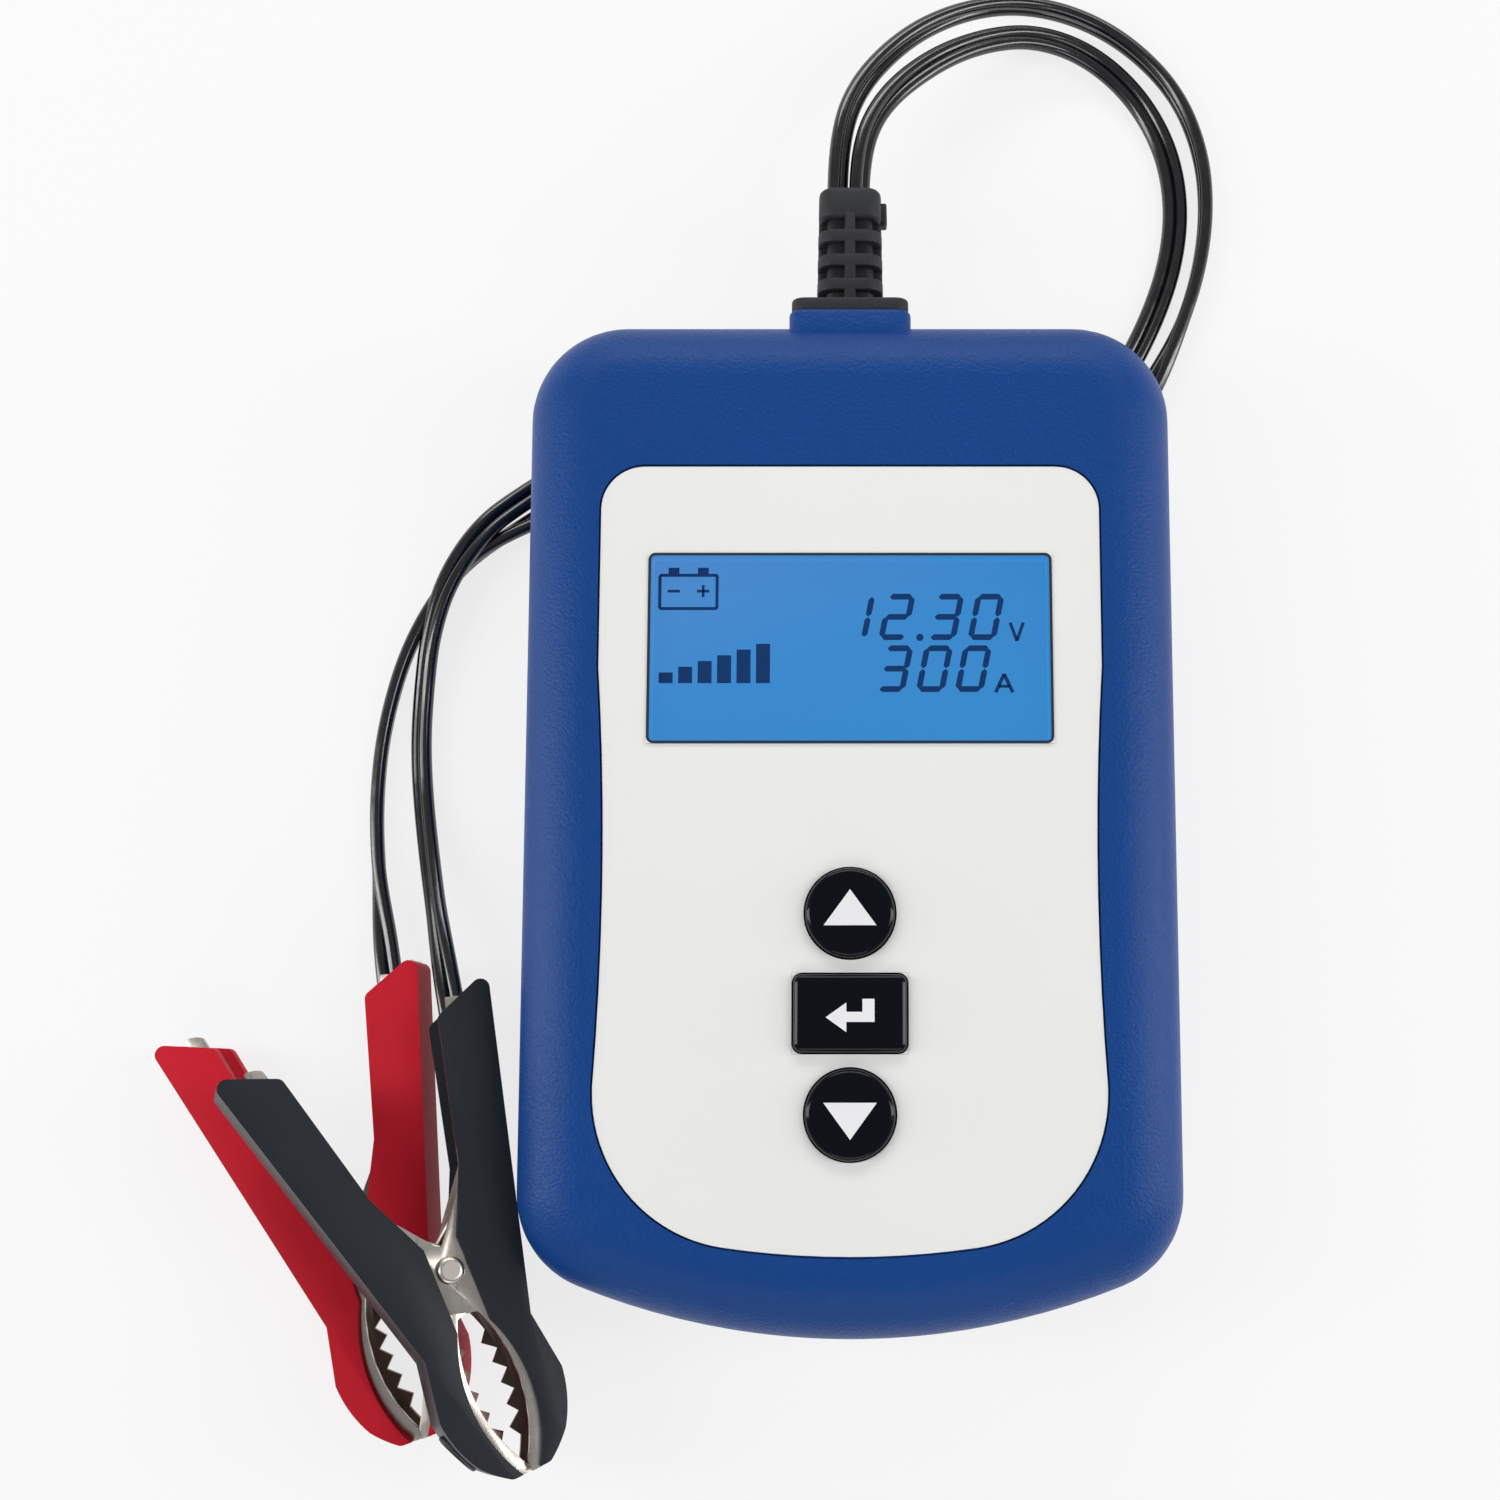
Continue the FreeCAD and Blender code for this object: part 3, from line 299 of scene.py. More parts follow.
@dataclass(frozen=True)
class Moulded:
    """A moulded plastic or rubber with a fine grain and a slow change of tone."""

    name: str
    colour: Colour
    roughness: float
    grain: float = 2600.0
    grain_depth: float = 0.00003
    tone: float = 0.05
    patch: float = 45.0
    gloss: float = 0.5
    grain_octaves: float = 2.0
    polish: float = 0.05

    def make(self) -> bpy.types.Material:
        """Mix the finish.

        Returns:
            The material.
        """
        shader = Shader(self.name)
        grain = shader.noise(self.grain, self.grain_octaves)
        tones = [linear(self.colour, 1 - self.tone), linear(self.colour, 1 + self.tone)]
        polish = (self.roughness - self.polish, self.roughness + self.polish)
        return shader.close({
            "Base Color": shader.ramp(shader.noise(self.patch), list(zip(NOISE_RANGE, tones))),
            "Roughness": shader.rescale(grain, NOISE_RANGE, polish),
            "Normal": shader.bump(grain, self.grain_depth),
            "Specular IOR Level": self.gloss,
        })


@dataclass(frozen=True)
class Plated:
    """Plated steel, with rolling marks along one direction, fine wear and painted shade where a mesh marks
    it; the painted shade also stands for the painted reflection of nearby dark parts.
    """

    name: str
    colour: Colour
    roughness: float
    # Dull brown of the painted shade, which also stands for the painted reflection of nearby dark parts
    painted_shade: Colour = (96, 78, 70)
    stretch: Point = (1.0, 0.08, 1.0)
    marks: float = 3000.0
    mark_depth: float = 0.00001
    mark_strength: float = 0.25
    polish: Spot = (-0.04, 0.06)
    wear: float = 260.0
    wear_range: Spot = (0.25, 0.75)
    wear_tones: Spot = (0.9, 1.05)
    octaves: float = 4.0

    def make(self) -> bpy.types.Material:
        """Mix the finish.

        Returns:
            The material.
        """
        shader = Shader(self.name)
        marks = shader.noise(self.marks, self.octaves, self.stretch)
        tones = [linear(self.colour, tone) for tone in self.wear_tones]
        worn = shader.ramp(shader.noise(self.wear, self.octaves), list(zip(self.wear_range, tones)))
        # Painted shade: where the mesh marks it, the steel's colour is mixed towards the dull brown
        shade_marks = shader.add("ShaderNodeAttribute", attribute_name=PAINTED_SHADE)
        shaded = shader.add("ShaderNodeMixRGB", {
            "Fac": shade_marks.outputs["Fac"], "Color1": worn, "Color2": linear(self.painted_shade)})
        polish = (self.roughness + self.polish[0], self.roughness + self.polish[1])
        return shader.close({
            "Base Color": shaded.outputs["Color"],
            "Metallic": 1.0,
            "Roughness": shader.rescale(marks, NOISE_RANGE, polish),
            "Normal": shader.bump(marks, self.mark_depth, self.mark_strength),
        })


@dataclass(frozen=True)
class LitGlass:
    """The lit face of the display: a slow change of blue from corner to corner and a faint cell grid."""

    name: str
    near: Colour
    middle: Colour
    far: Colour
    glow: float
    centre: Point
    half_width: float
    lean: float = 0.4
    roughness: float = 0.35
    gloss: float = 0.1
    cells: float = 900.0
    cell_octaves: float = 1.0
    cell_depth: float = 0.000005

    def make(self) -> bpy.types.Material:
        """Mix the finish.

        Returns:
            The material.
        """
        shader = Shader(self.name)
        moved = shader.add("ShaderNodeMapping", {
            "Vector": shader.coords, "Location": tuple(-value for value in self.centre)})
        axes = shader.add("ShaderNodeSeparateXYZ", {"Vector": moved.outputs["Vector"]}).outputs
        slant = shader.maths("MULTIPLY_ADD", axes["X"], -self.lean, axes["Y"])
        colour = shader.ramp(shader.rescale(slant, (-self.half_width, self.half_width)), [
            (0.0, linear(self.near)), (0.5, linear(self.middle)), (1.0, linear(self.far))])
        dim = shader.add("ShaderNodeHueSaturation", {"Color": colour, "Value": 1.0 - self.glow})
        cells = shader.noise(self.cells, self.cell_octaves)
        return shader.close({
            "Base Color": dim.outputs["Color"],
            "Emission Color": colour,
            "Emission Strength": self.glow,
            "Roughness": self.roughness,
            "Specular IOR Level": self.gloss,
            "Normal": shader.bump(cells, self.cell_depth),
        })


@dataclass(frozen=True)
class ClearWindow:
    """A clear moulded window that mirrors the lights faintly and lets the display show."""

    name: str
    tint: Colour
    alpha: float
    gloss: float = 0.5
    haze: float = 120.0
    polish: Spot = (0.04, 0.09)

    def make(self) -> bpy.types.Material:
        """Mix the finish.

        Returns:
            The material.
        """
        shader = Shader(self.name)
        material = shader.close({
            "Base Color": linear(self.tint),
            "Alpha": self.alpha,
            "Specular IOR Level": self.gloss,
            "Roughness": shader.rescale(shader.noise(self.haze), NOISE_RANGE, self.polish),
        })
        material.surface_render_method = "BLENDED"
        return material


@dataclass(frozen=True)
class Laminate:
    """The circuit board: a coloured mask over faint tracks."""

    name: str
    mask: Colour
    track: Colour
    roughness: float = 0.4
    rows: float = 180.0
    track_width: float = 0.04
    track_depth: float = 0.00002
    shade: float = 0.85

    def make(self) -> bpy.types.Material:
        """Mix the finish.

        Returns:
            The material.
        """
        shader = Shader(self.name)
        tracks = shader.add("ShaderNodeTexBrick", {
            "Vector": shader.coords, "Color1": linear(self.mask), "Color2": linear(self.mask, self.shade),
            "Mortar": linear(self.track), "Scale": self.rows, "Mortar Size": self.track_width})
        return shader.close({
            "Base Color": tracks.outputs["Color"],
            "Roughness": self.roughness,
            "Normal": shader.bump(tracks.outputs["Fac"], self.track_depth),
        })


FINISHES = {finish.name: finish for finish in (
    Moulded("case_blue", (2, 62, 131), 0.42, grain_depth=0.00012, tone=0.03, patch=20.0, gloss=0.24),
    Moulded("panel_white", (236, 235, 231), 0.42, grain=5200.0, grain_depth=0.00001, tone=0.012, patch=25.0,
            gloss=0.45),
    ClearWindow("window_clear", (120, 160, 200), alpha=0.02),
    LitGlass("display_blue", near=(52, 138, 204), middle=(54, 136, 205), far=(78, 138, 206), glow=0.88,
             centre=(0.0, 0.020, 0.0256), half_width=0.026),
    Moulded("backlight_white", (226, 234, 240), 0.5),
    Moulded("frame_black", (26, 27, 29), 0.55),
    Laminate("board_green", mask=(22, 92, 50), track=(40, 122, 70)),
    Moulded("key_black", (3, 6, 15), 0.1, grain=900.0, grain_depth=0.000002, tone=0.1, patch=120.0,
            gloss=0.22),
    Moulded("switch_grey", (58, 60, 62), 0.5),
    Moulded("rubber_black", (36, 37, 39), 0.55, grain_depth=0.00005, tone=0.08, patch=160.0, gloss=0.35),
    Plated("screw_steel", (176, 176, 172), 0.34),
    Moulded("chip_black", (30, 30, 32), 0.6),
    Moulded("resistor_ceramic", (206, 200, 186), 0.7),
    Moulded("capacitor_can", (40, 46, 66), 0.3),
    Plated("terminal_tin", (198, 194, 186), 0.3),
    Moulded("lead_black", (6, 7, 9), 0.2, grain=500.0, grain_depth=0.0000006, tone=0.1, patch=200.0,
            gloss=0.9),
    Plated("nickel_steel", (212, 204, 194), 0.3),
    Moulded("cover_red", (197, 24, 42), 0.6, grain=3200.0, grain_depth=0.00001, patch=90.0, gloss=0.16),
    Moulded("cover_black", (32, 36, 41), 0.42, grain=3200.0, grain_depth=0.00001, tone=0.08, patch=90.0,
            gloss=0.26),
    Moulded("segment_ink", (0, 46, 100), 0.6, grain=2000.0, grain_depth=0.000001, tone=0.06, gloss=0.05),
    Moulded("icon_white", (236, 236, 236), 0.4, grain=4000.0, grain_depth=0.000002, tone=0.01),
    Moulded("border_ink", (34, 40, 52), 0.4, grain=4000.0, grain_depth=0.000002),
)}


@dataclass
class Round:
    """A rounding of the sharp edges of a mesh, or of those that a test picks."""

    width: float
    segments: int = 3
    picks: Callable[[bmesh.types.BMEdge], bool] | None = None
    least_angle: float = 35.0

    def apply(self, mesh: Mesh) -> None:
        """Round the edges.

        Args:
            mesh: The mesh to work on.
        """
        least = math.radians(self.least_angle)
        inner = [edge for edge in mesh.edges if len(edge.link_faces) == 2]
        sharp = [edge for edge in inner if edge.calc_face_angle(0.0) > least]
        if self.picks:
            sharp = [edge for edge in sharp if self.picks(edge)]
        bmesh.ops.bevel(mesh, geom=sharp, offset=self.width * MM, offset_type="OFFSET", affect="EDGES",
                        segments=self.segments, profile=0.5, material=-1, clamp_overlap=True)


class Workshop:
    """Materials made once each, and the shared ways to put meshes into the scene."""

    flat_angle: float = 2.0
    corner_steps: int = 6

    def __init__(self) -> None:
        """Start with no material made."""
        self.made: dict[str, bpy.types.Material] = {}

    def finish(self, slot: str) -> bpy.types.Material:
        """Find the material of a slot, made on first use.

        Args:
            slot: Name of the finish.

        Returns:
            The material.
        """
        if slot not in self.made:
            self.made[slot] = FINISHES[slot].make()
        return self.made[slot]

    def paint(self, piece: bpy.types.Object, slot: str) -> None:
        """Give a piece one material."""
        piece.data.materials.clear()
        piece.data.materials.append(self.finish(slot))

    def add(self, mesh: Mesh, name: str, slot: str, body: Body | None, record_slot: str | None = None,
            crease: float = CREASE) -> bpy.types.Object:
        """Put a finished mesh into the scene as a piece that rides on a body.

        Args:
            mesh: The shape, in metres, in its place.
            name: Name of the piece.
            slot: Name of its finish.
            body: Body that it moves with, or none for a piece that is attached to no body.
            record_slot: The record's slot, where that has another name; not used.
            crease: Greatest angle between faces that still shade as one surface.

        Returns:
            The new piece.
        """
        piece = finished(mesh, name)
        piece.data.set_sharp_from_angle(angle=math.radians(crease))
        self.paint(piece, slot)
        if body:
            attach(piece, body.value)
        LOG.info("%s: %d faces on %s", name, len(piece.data.polygons), body.value if body else "two bodies")
        return piece

    @staticmethod
    def plate(mesh: Mesh, spots: Sequence[Spot], level: float, thick: float) -> None:
        """Add a flat plate with a given outline, in millimetres.

        Args:
            mesh: The mesh to add to.
            spots: Corners of the outline in order.
            level: Height of the plate's underside.
            thick: Thickness of the plate.
        """
        corners = [mesh.verts.new((x * MM, y * MM, level * MM)) for x, y in spots]
        face = bmesh.ops.contextual_create(mesh, geom=closed_line(mesh, corners))["faces"][0]
        grown = bmesh.ops.extrude_face_region(mesh, geom=[face], use_keep_orig=True)["geom"]
        upper = [item for item in grown if isinstance(item, bmesh.types.BMVert)]
        bmesh.ops.translate(mesh, vec=(0.0, 0.0, thick * MM), verts=upper)
        bmesh.ops.recalc_face_normals(mesh, faces=mesh.faces)

    @classmethod
    def corner_plates(cls, mesh: Mesh, middle: Spot, half: Spot, radius: float, level: float,
                      thick: float) -> None:
        """Fill the four corners of a rectangle up to round corners, in millimetres.

        Args:
            mesh: The mesh to add to.
            middle: Middle of the rectangle.
            half: Half width and half height.
            radius: Radius of the round corners.
            level: Height of the plates' underside.
            thick: Thickness of the plates.
        """
        turns = [math.pi / 2 * step / cls.corner_steps for step in range(cls.corner_steps + 1)]
        arc = [(half[0] - radius + radius * math.cos(turn), half[1] - radius + radius * math.sin(turn))
               for turn in turns]
        for side_x in (1, -1):
            for side_y in (1, -1):
                spots = [(middle[0] + x * side_x, middle[1] + y * side_y) for x, y in (*arc, half)]
                cls.plate(mesh, spots, level, thick)

    @staticmethod
    def copy_of(node: str) -> Mesh:
        """Copy a CAD node's shape, with its loose triangles joined.

        Args:
            node: The CAD node.

        Returns:
            The new mesh.
        """
        mesh = bmesh.new()
        mesh.from_mesh(frame["nodes"][node].data)
        bmesh.ops.remove_doubles(mesh, verts=mesh.verts, dist=MERGE * MM)
        return mesh

    def softened(self, node: str, name: str, slot: str, body: Body, rounds: Sequence[Round],
                 reshape: Callable[[Vector], Vector] | None = None,
                 painted_shade: Callable[[Vector], float] | None = None) -> bpy.types.Object:
        """Make a copy of a CAD node with rounded edges, which stands for that node.

        Args:
            node: The CAD node.
            name: Name of the new piece.
            slot: Name of its finish.
            body: Body that it moves with.
            rounds: The roundings, in the order in which they are made.
            reshape: Gives a point of the node its new place.
            painted_shade: Gives a point its share of painted shade.

        Returns:
            The new piece.
        """
        mesh = self.copy_of(node)
        bmesh.ops.dissolve_limit(mesh, angle_limit=math.radians(self.flat_angle), verts=mesh.verts,
                                 edges=mesh.edges)
        if reshape:
            for vertex in mesh.verts:
                vertex.co = reshape(vertex.co)
        for rounding in rounds:
            rounding.apply(mesh)
        bmesh.ops.recalc_face_normals(mesh, faces=mesh.faces)
        # Mark each point with its share of painted shade
        if painted_shade:
            layer = mesh.verts.layers.float.new(PAINTED_SHADE)
            for vertex in mesh.verts:
                vertex[layer] = painted_shade(vertex.co)
        piece = self.add(mesh, name, slot, body)
        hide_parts(node)
        return piece


@dataclass
class TwinLead:
    """A flat twin lead that follows a smooth line through its route and turns about it on the way."""

    name: str
    node: str
    clip: str
    route: Sequence[Point]
    turns: Sequence[Spot]
    core: float = 0.95
    pitch: float = 1.7
    core_segments: int = 20
    line_order: int = 3
    line_steps: int = 8
    clearance: float = 0.03

    def line(self) -> list[Vector]:
        """Read points along the smooth line from a spline through the route.

        Returns:
            The points in order, in metres.
        """
        curve = bpy.data.curves.new(self.name + "_line", "CURVE")
        curve.dimensions = "3D"
        spline = curve.splines.new("NURBS")
        spline.points.add(len(self.route) - 1)
        for point, spot in zip(spline.points, self.route):
            point.co = (*[value * MM for value in spot], 1.0)
        spline.order_u = self.line_order
        spline.use_endpoint_u = True
        spline.resolution_u = self.line_steps
        holder = bpy.data.objects.new(self.name + "_line", curve)
        data = bpy.data.meshes.new_from_object(holder)
        points = [vertex.co.copy() for vertex in data.vertices]
        bpy.data.objects.remove(holder)
        bpy.data.meshes.remove(data)
        return points

    def section(self, mesh: Mesh) -> list[bmesh.types.BMVert]:
        """Draw the figure of two joined cores about the origin, across X and up Z.

        Args:
            mesh: The mesh to draw in.

        Returns:
            The outline's vertices in order.
        """
        half = self.pitch / 2
        waist = math.acos(half / self.core)
        spots = []
        for side in (1, -1):
            for step in range(self.core_segments + 1):
                turn = -math.pi + waist + (2 * math.pi - 2 * waist) * step / self.core_segments
                x = half + self.core * math.cos(turn)
                spots.append((side * x, side * self.core * math.sin(turn)))
        unique = [spot for number, spot in enumerate(spots) if math.dist(spot, spots[number - 1]) > MERGE]
        return [mesh.verts.new((x * MM, 0.0, z * MM)) for x, z in unique]

    def turn_at(self, share: float) -> float:
        """Find how far the flat side is turned at a place on the lead.

        Args:
            share: The place, as a share of the length.

        Returns:
            The turn in radians.
        """
        for (start, low), (end, high) in zip(self.turns, self.turns[1:]):
            if start <= share <= end:
                return math.radians(low + (high - low) * eased((share - start) / (end - start)))
        return 0.0

    def frames(self, points: Sequence[Vector]) -> list[Matrix]:
        """Give each point a frame that looks along the line, turned as set and lifted to lie on the floor.

        Args:
            points: The line.

        Returns:
            One matrix for each point.
        """
        steps = [(after - before).length for before, after in zip(points, points[1:])]
        total = sum(steps)
        found = []
        for number, point in enumerate(points):
            before = points[max(number - 1, 0)]
            after = points[min(number + 1, len(points) - 1)]
            ahead = (after - before).normalized()
            across = ahead.cross(Vector((0.0, 0.0, 1.0))).normalized()
            upward = across.cross(ahead)
            level = Matrix((across, ahead, upward)).transposed().to_4x4()
            turn = self.turn_at(sum(steps[:number]) / total)
            rest = (self.core + self.pitch / 2 * abs(math.sin(turn)) + self.clearance) * MM
            spot = Vector((point.x, point.y, max(point.z, rest)))
            found.append(Matrix.Translation(spot) @ level @ Matrix.Rotation(turn, 4, "Y"))
        return found

    def build(self, shop: Workshop, carried: Sequence[bpy.types.Object]) -> bpy.types.Object:
        """Args:
            shop: Materials and scene calls.
            carried: New pieces on the lead, besides the CAD nodes of its clip that stay; not used.

        Returns:
            The lead.
        """
        points = self.line()
        frames = self.frames(points)
        mesh = bmesh.new()
        outline = self.section(mesh)
        edges = closed_line(mesh, outline)
        bmesh.ops.transform(mesh, matrix=frames[0], verts=outline)
        bmesh.ops.contextual_create(mesh, geom=edges)
        for before, after in zip(frames, frames[1:]):
            grown = bmesh.ops.extrude_edge_only(mesh, edges=edges)["geom"]
            rim = [item for item in grown if isinstance(item, bmesh.types.BMVert)]
            edges = [item for item in grown if isinstance(item, bmesh.types.BMEdge)
                     and all(vertex in rim for vertex in item.verts)]
            bmesh.ops.transform(mesh, matrix=after @ before.inverted(), verts=rim)
        bmesh.ops.contextual_create(mesh, geom=edges)
        bmesh.ops.recalc_face_normals(mesh, faces=mesh.faces)
        lead = shop.add(mesh, self.name, "lead_black", Body.TESTER, crease=ROUND_CREASE)
        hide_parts(self.node)
        return lead


LEADS = (
    TwinLead("red_twin_lead", "red_lead", "red", (
        (-1.7, 85.9, 15.5), (-1.7, 93.6, 15.5), (0.8, 103.0, 13.9), (7.6, 112.0, 10.8),
        (15.6, 117.8, 7.6), (24.2, 120.6, 4.8), (33.0, 119.8, 2.9), (41.0, 115.6, 2.1),
        (47.8, 108.2, 1.9), (51.2, 99.0, 1.9), (51.8, 89.5, 1.9), (50.2, 79.5, 1.9),
        (46.5, 69.5, 1.6), (41.0, 59.5, 1.0), (33.5, 50.5, 1.0), (23.5, 45.0, 1.0),
        (11.0, 42.4, 1.0), (-4.0, 42.6, 1.0), (-18.0, 45.6, 1.0), (-30.0, 48.0, 1.0),
        (-38.5, 47.0, 1.0), (-46.0, 43.2, 1.3), (-55.0, 37.4, 1.9), (-61.6, 27.0, 1.9),
        (-65.0, 14.6, 1.9), (-65.8, 3.0, 1.9), (-64.8, -8.0, 2.4), (-63.2, -17.3, 3.9),
        (-61.76, -25.62, 4.6), (-61.12, -34.24, 4.6)),
        ((0.0, 55.0), (0.04, 55.0), (0.17, 90.0), (0.36, 90.0), (0.43, 0.0), (0.68, 0.0), (0.75, 80.0),
         (0.90, 80.0), (0.96, 0.0), (1.0, 0.0))),
    TwinLead("black_twin_lead", "black_lead", "black", (
        (1.3, 85.9, 15.5), (1.3, 92.6, 15.5), (4.4, 101.0, 13.9), (11.6, 108.6, 10.8),
        (19.2, 113.4, 7.6), (26.8, 115.6, 4.8), (34.6, 114.0, 2.6), (41.4, 108.6, 1.4),
        (46.0, 100.6, 1.0), (47.6, 91.6, 1.0), (46.6, 82.4, 1.0), (43.4, 73.2, 1.0),
        (38.4, 63.8, 1.0), (31.0, 55.2, 1.0), (21.0, 49.7, 1.0), (9.0, 46.9, 1.0),
        (-5.0, 47.2, 1.0), (-19.0, 50.3, 1.0), (-31.0, 53.0, 1.0), (-39.5, 51.6, 1.0),
        (-46.2, 47.2, 1.6), (-51.6, 42.2, 3.9), (-56.4, 34.6, 4.4), (-58.6, 27.0, 3.6),
        (-59.6, 19.5, 2.0), (-59.9, 11.5, 1.6), (-59.2, 3.0, 1.7), (-57.2, -7.8, 4.2),
        (-54.4, -18.6, 9.3), (-51.82, -29.01, 11.70), (-50.40, -37.41, 12.47)),
        ((0.0, 55.0), (0.04, 55.0), (0.12, 0.0), (0.70, 0.0), (0.78, 45.0), (0.90, 45.0), (0.96, 0.0),
         (1.0, 0.0))),
)


@dataclass(frozen=True)
class Lamp:
    """A soft lamp that faces the object."""

    name: str
    place: Point
    size: Spot
    watts: float

    def hang(self) -> None:
        """Put the lamp into the scene."""
        data = bpy.data.lights.new(self.name, "AREA")
        data.shape = "RECTANGLE"
        data.size, data.size_y = self.size
        data.energy = self.watts
        lamp = placed(self.name, data)
        lamp.location = self.place
        lamp.rotation_euler = (-Vector(self.place)).to_track_quat("-Z", "Y").to_euler()


@dataclass
class Studio:
    """The white floor and horizon, the soft lights and the camera, in metres."""

    floor_size: float = 60.0
    floor_drop: float = 0.00002
    floor_colour: Light = (0.86, 0.86, 0.86, 1.0)
    near_share: float = 0.8
    near_reach: float = 0.3
    far_reach: float = 0.6
    white_light: float = 0.98
    sky_colour: Light = (0.93, 0.95, 1.0, 1.0)
    sky_light: float = 0.3
    band_full: float = 9.0
    band_end: float = 17.0
    camera_place: Point = (0.0, -0.03346, 0.2888)
    camera_tilt: float = 8.764
    camera_nearest: float = 0.01
    lens: float = 50.0
    sensor: float = 36.0
    shift_x: float = -0.0667
    lamps: Sequence[Lamp] = (
        Lamp("left_strip", (-0.52, 0.0, 0.30), (0.14, 0.7), 2.0),
        Lamp("right_strip", (0.52, 0.0, 0.30), (0.14, 0.7), 2.0),
        Lamp("top_strip", (0.0, 0.56, 0.34), (0.6, 0.16), 1.6),
        Lamp("front_fill", (0.0, -0.75, 0.55), (0.7, 0.3), 1.5))

    def build(self) -> None:
        """Put up the stage."""
        self.floor()
        self.world()
        self.camera()
        for lamp in self.lamps:
            lamp.hang()

    def floor(self) -> None:
        """Lay the floor, which looks white, keeps the object's shadow and is plain white further out."""
        mesh = bmesh.new()
        bmesh.ops.create_grid(mesh, x_segments=1, y_segments=1, size=self.floor_size / 2)
        bmesh.ops.translate(mesh, vec=(0.0, 0.0, -self.floor_drop), verts=mesh.verts)
        floor = finished(mesh, "floor")
        shader = Shader("floor_white")
        matte = shader.add("ShaderNodeBsdfDiffuse", {"Color": self.floor_colour})
        white = shader.add("ShaderNodeEmission", {"Color": WHITE, "Strength": self.white_light})
        length = shader.add("ShaderNodeVectorMath", {"Vector": shader.coords}, operation="LENGTH")
        away = length.outputs["Value"]
        share = shader.rescale(away, (self.near_reach, self.far_reach), (self.near_share, 1.0))
        seen = shader.maths("MULTIPLY", shader.seen(), share)
        floor.data.materials.append(shader.end(shader.mix(seen, matte, white)))

    def world(self) -> None:
        """Light the surroundings evenly, and let the floor run into a white band round the horizon."""
        world = bpy.data.worlds.new("studio")
        bpy.context.scene.world = world
        world.use_nodes = True
        nodes = Nodes(world.node_tree)
        direction = nodes.add("ShaderNodeTexCoord").outputs["Generated"]
        height = nodes.add("ShaderNodeSeparateXYZ", {"Vector": direction}).outputs["Z"]
        heights = tuple(math.sin(math.radians(angle)) for angle in (self.band_full, self.band_end))
        seen = nodes.maths("MULTIPLY", nodes.seen(), nodes.rescale(height, heights, (1.0, 0.0)))
        sky = nodes.add("ShaderNodeBackground", {"Color": self.sky_colour, "Strength": self.sky_light})
        band = nodes.add("ShaderNodeBackground", {"Color": WHITE, "Strength": self.white_light})
        nodes.add("ShaderNodeOutputWorld", {"Surface": nodes.mix(seen, sky, band)})

    def camera(self) -> None:
        """Set the camera at the photograph's angle."""
        data = bpy.data.cameras.new("camera")
        data.lens = self.lens
        data.sensor_width = self.sensor
        data.shift_x = self.shift_x
        data.clip_start = self.camera_nearest
        camera = placed("camera", data)
        camera.location = self.camera_place
        camera.rotation_euler = (math.radians(self.camera_tilt), 0.0, 0.0)
        bpy.context.scene.camera = camera


def dress_nodes(shop: Workshop) -> None:
    """Give every CAD node the finish of its slot in the record.

    Args:
        shop: Materials and scene calls.
    """
    slots = {row["node"]: row["material_slot"] for row in frame["record"]["subparts"]}
    for name, node in frame["nodes"].items():
        shop.paint(node, slots[name])


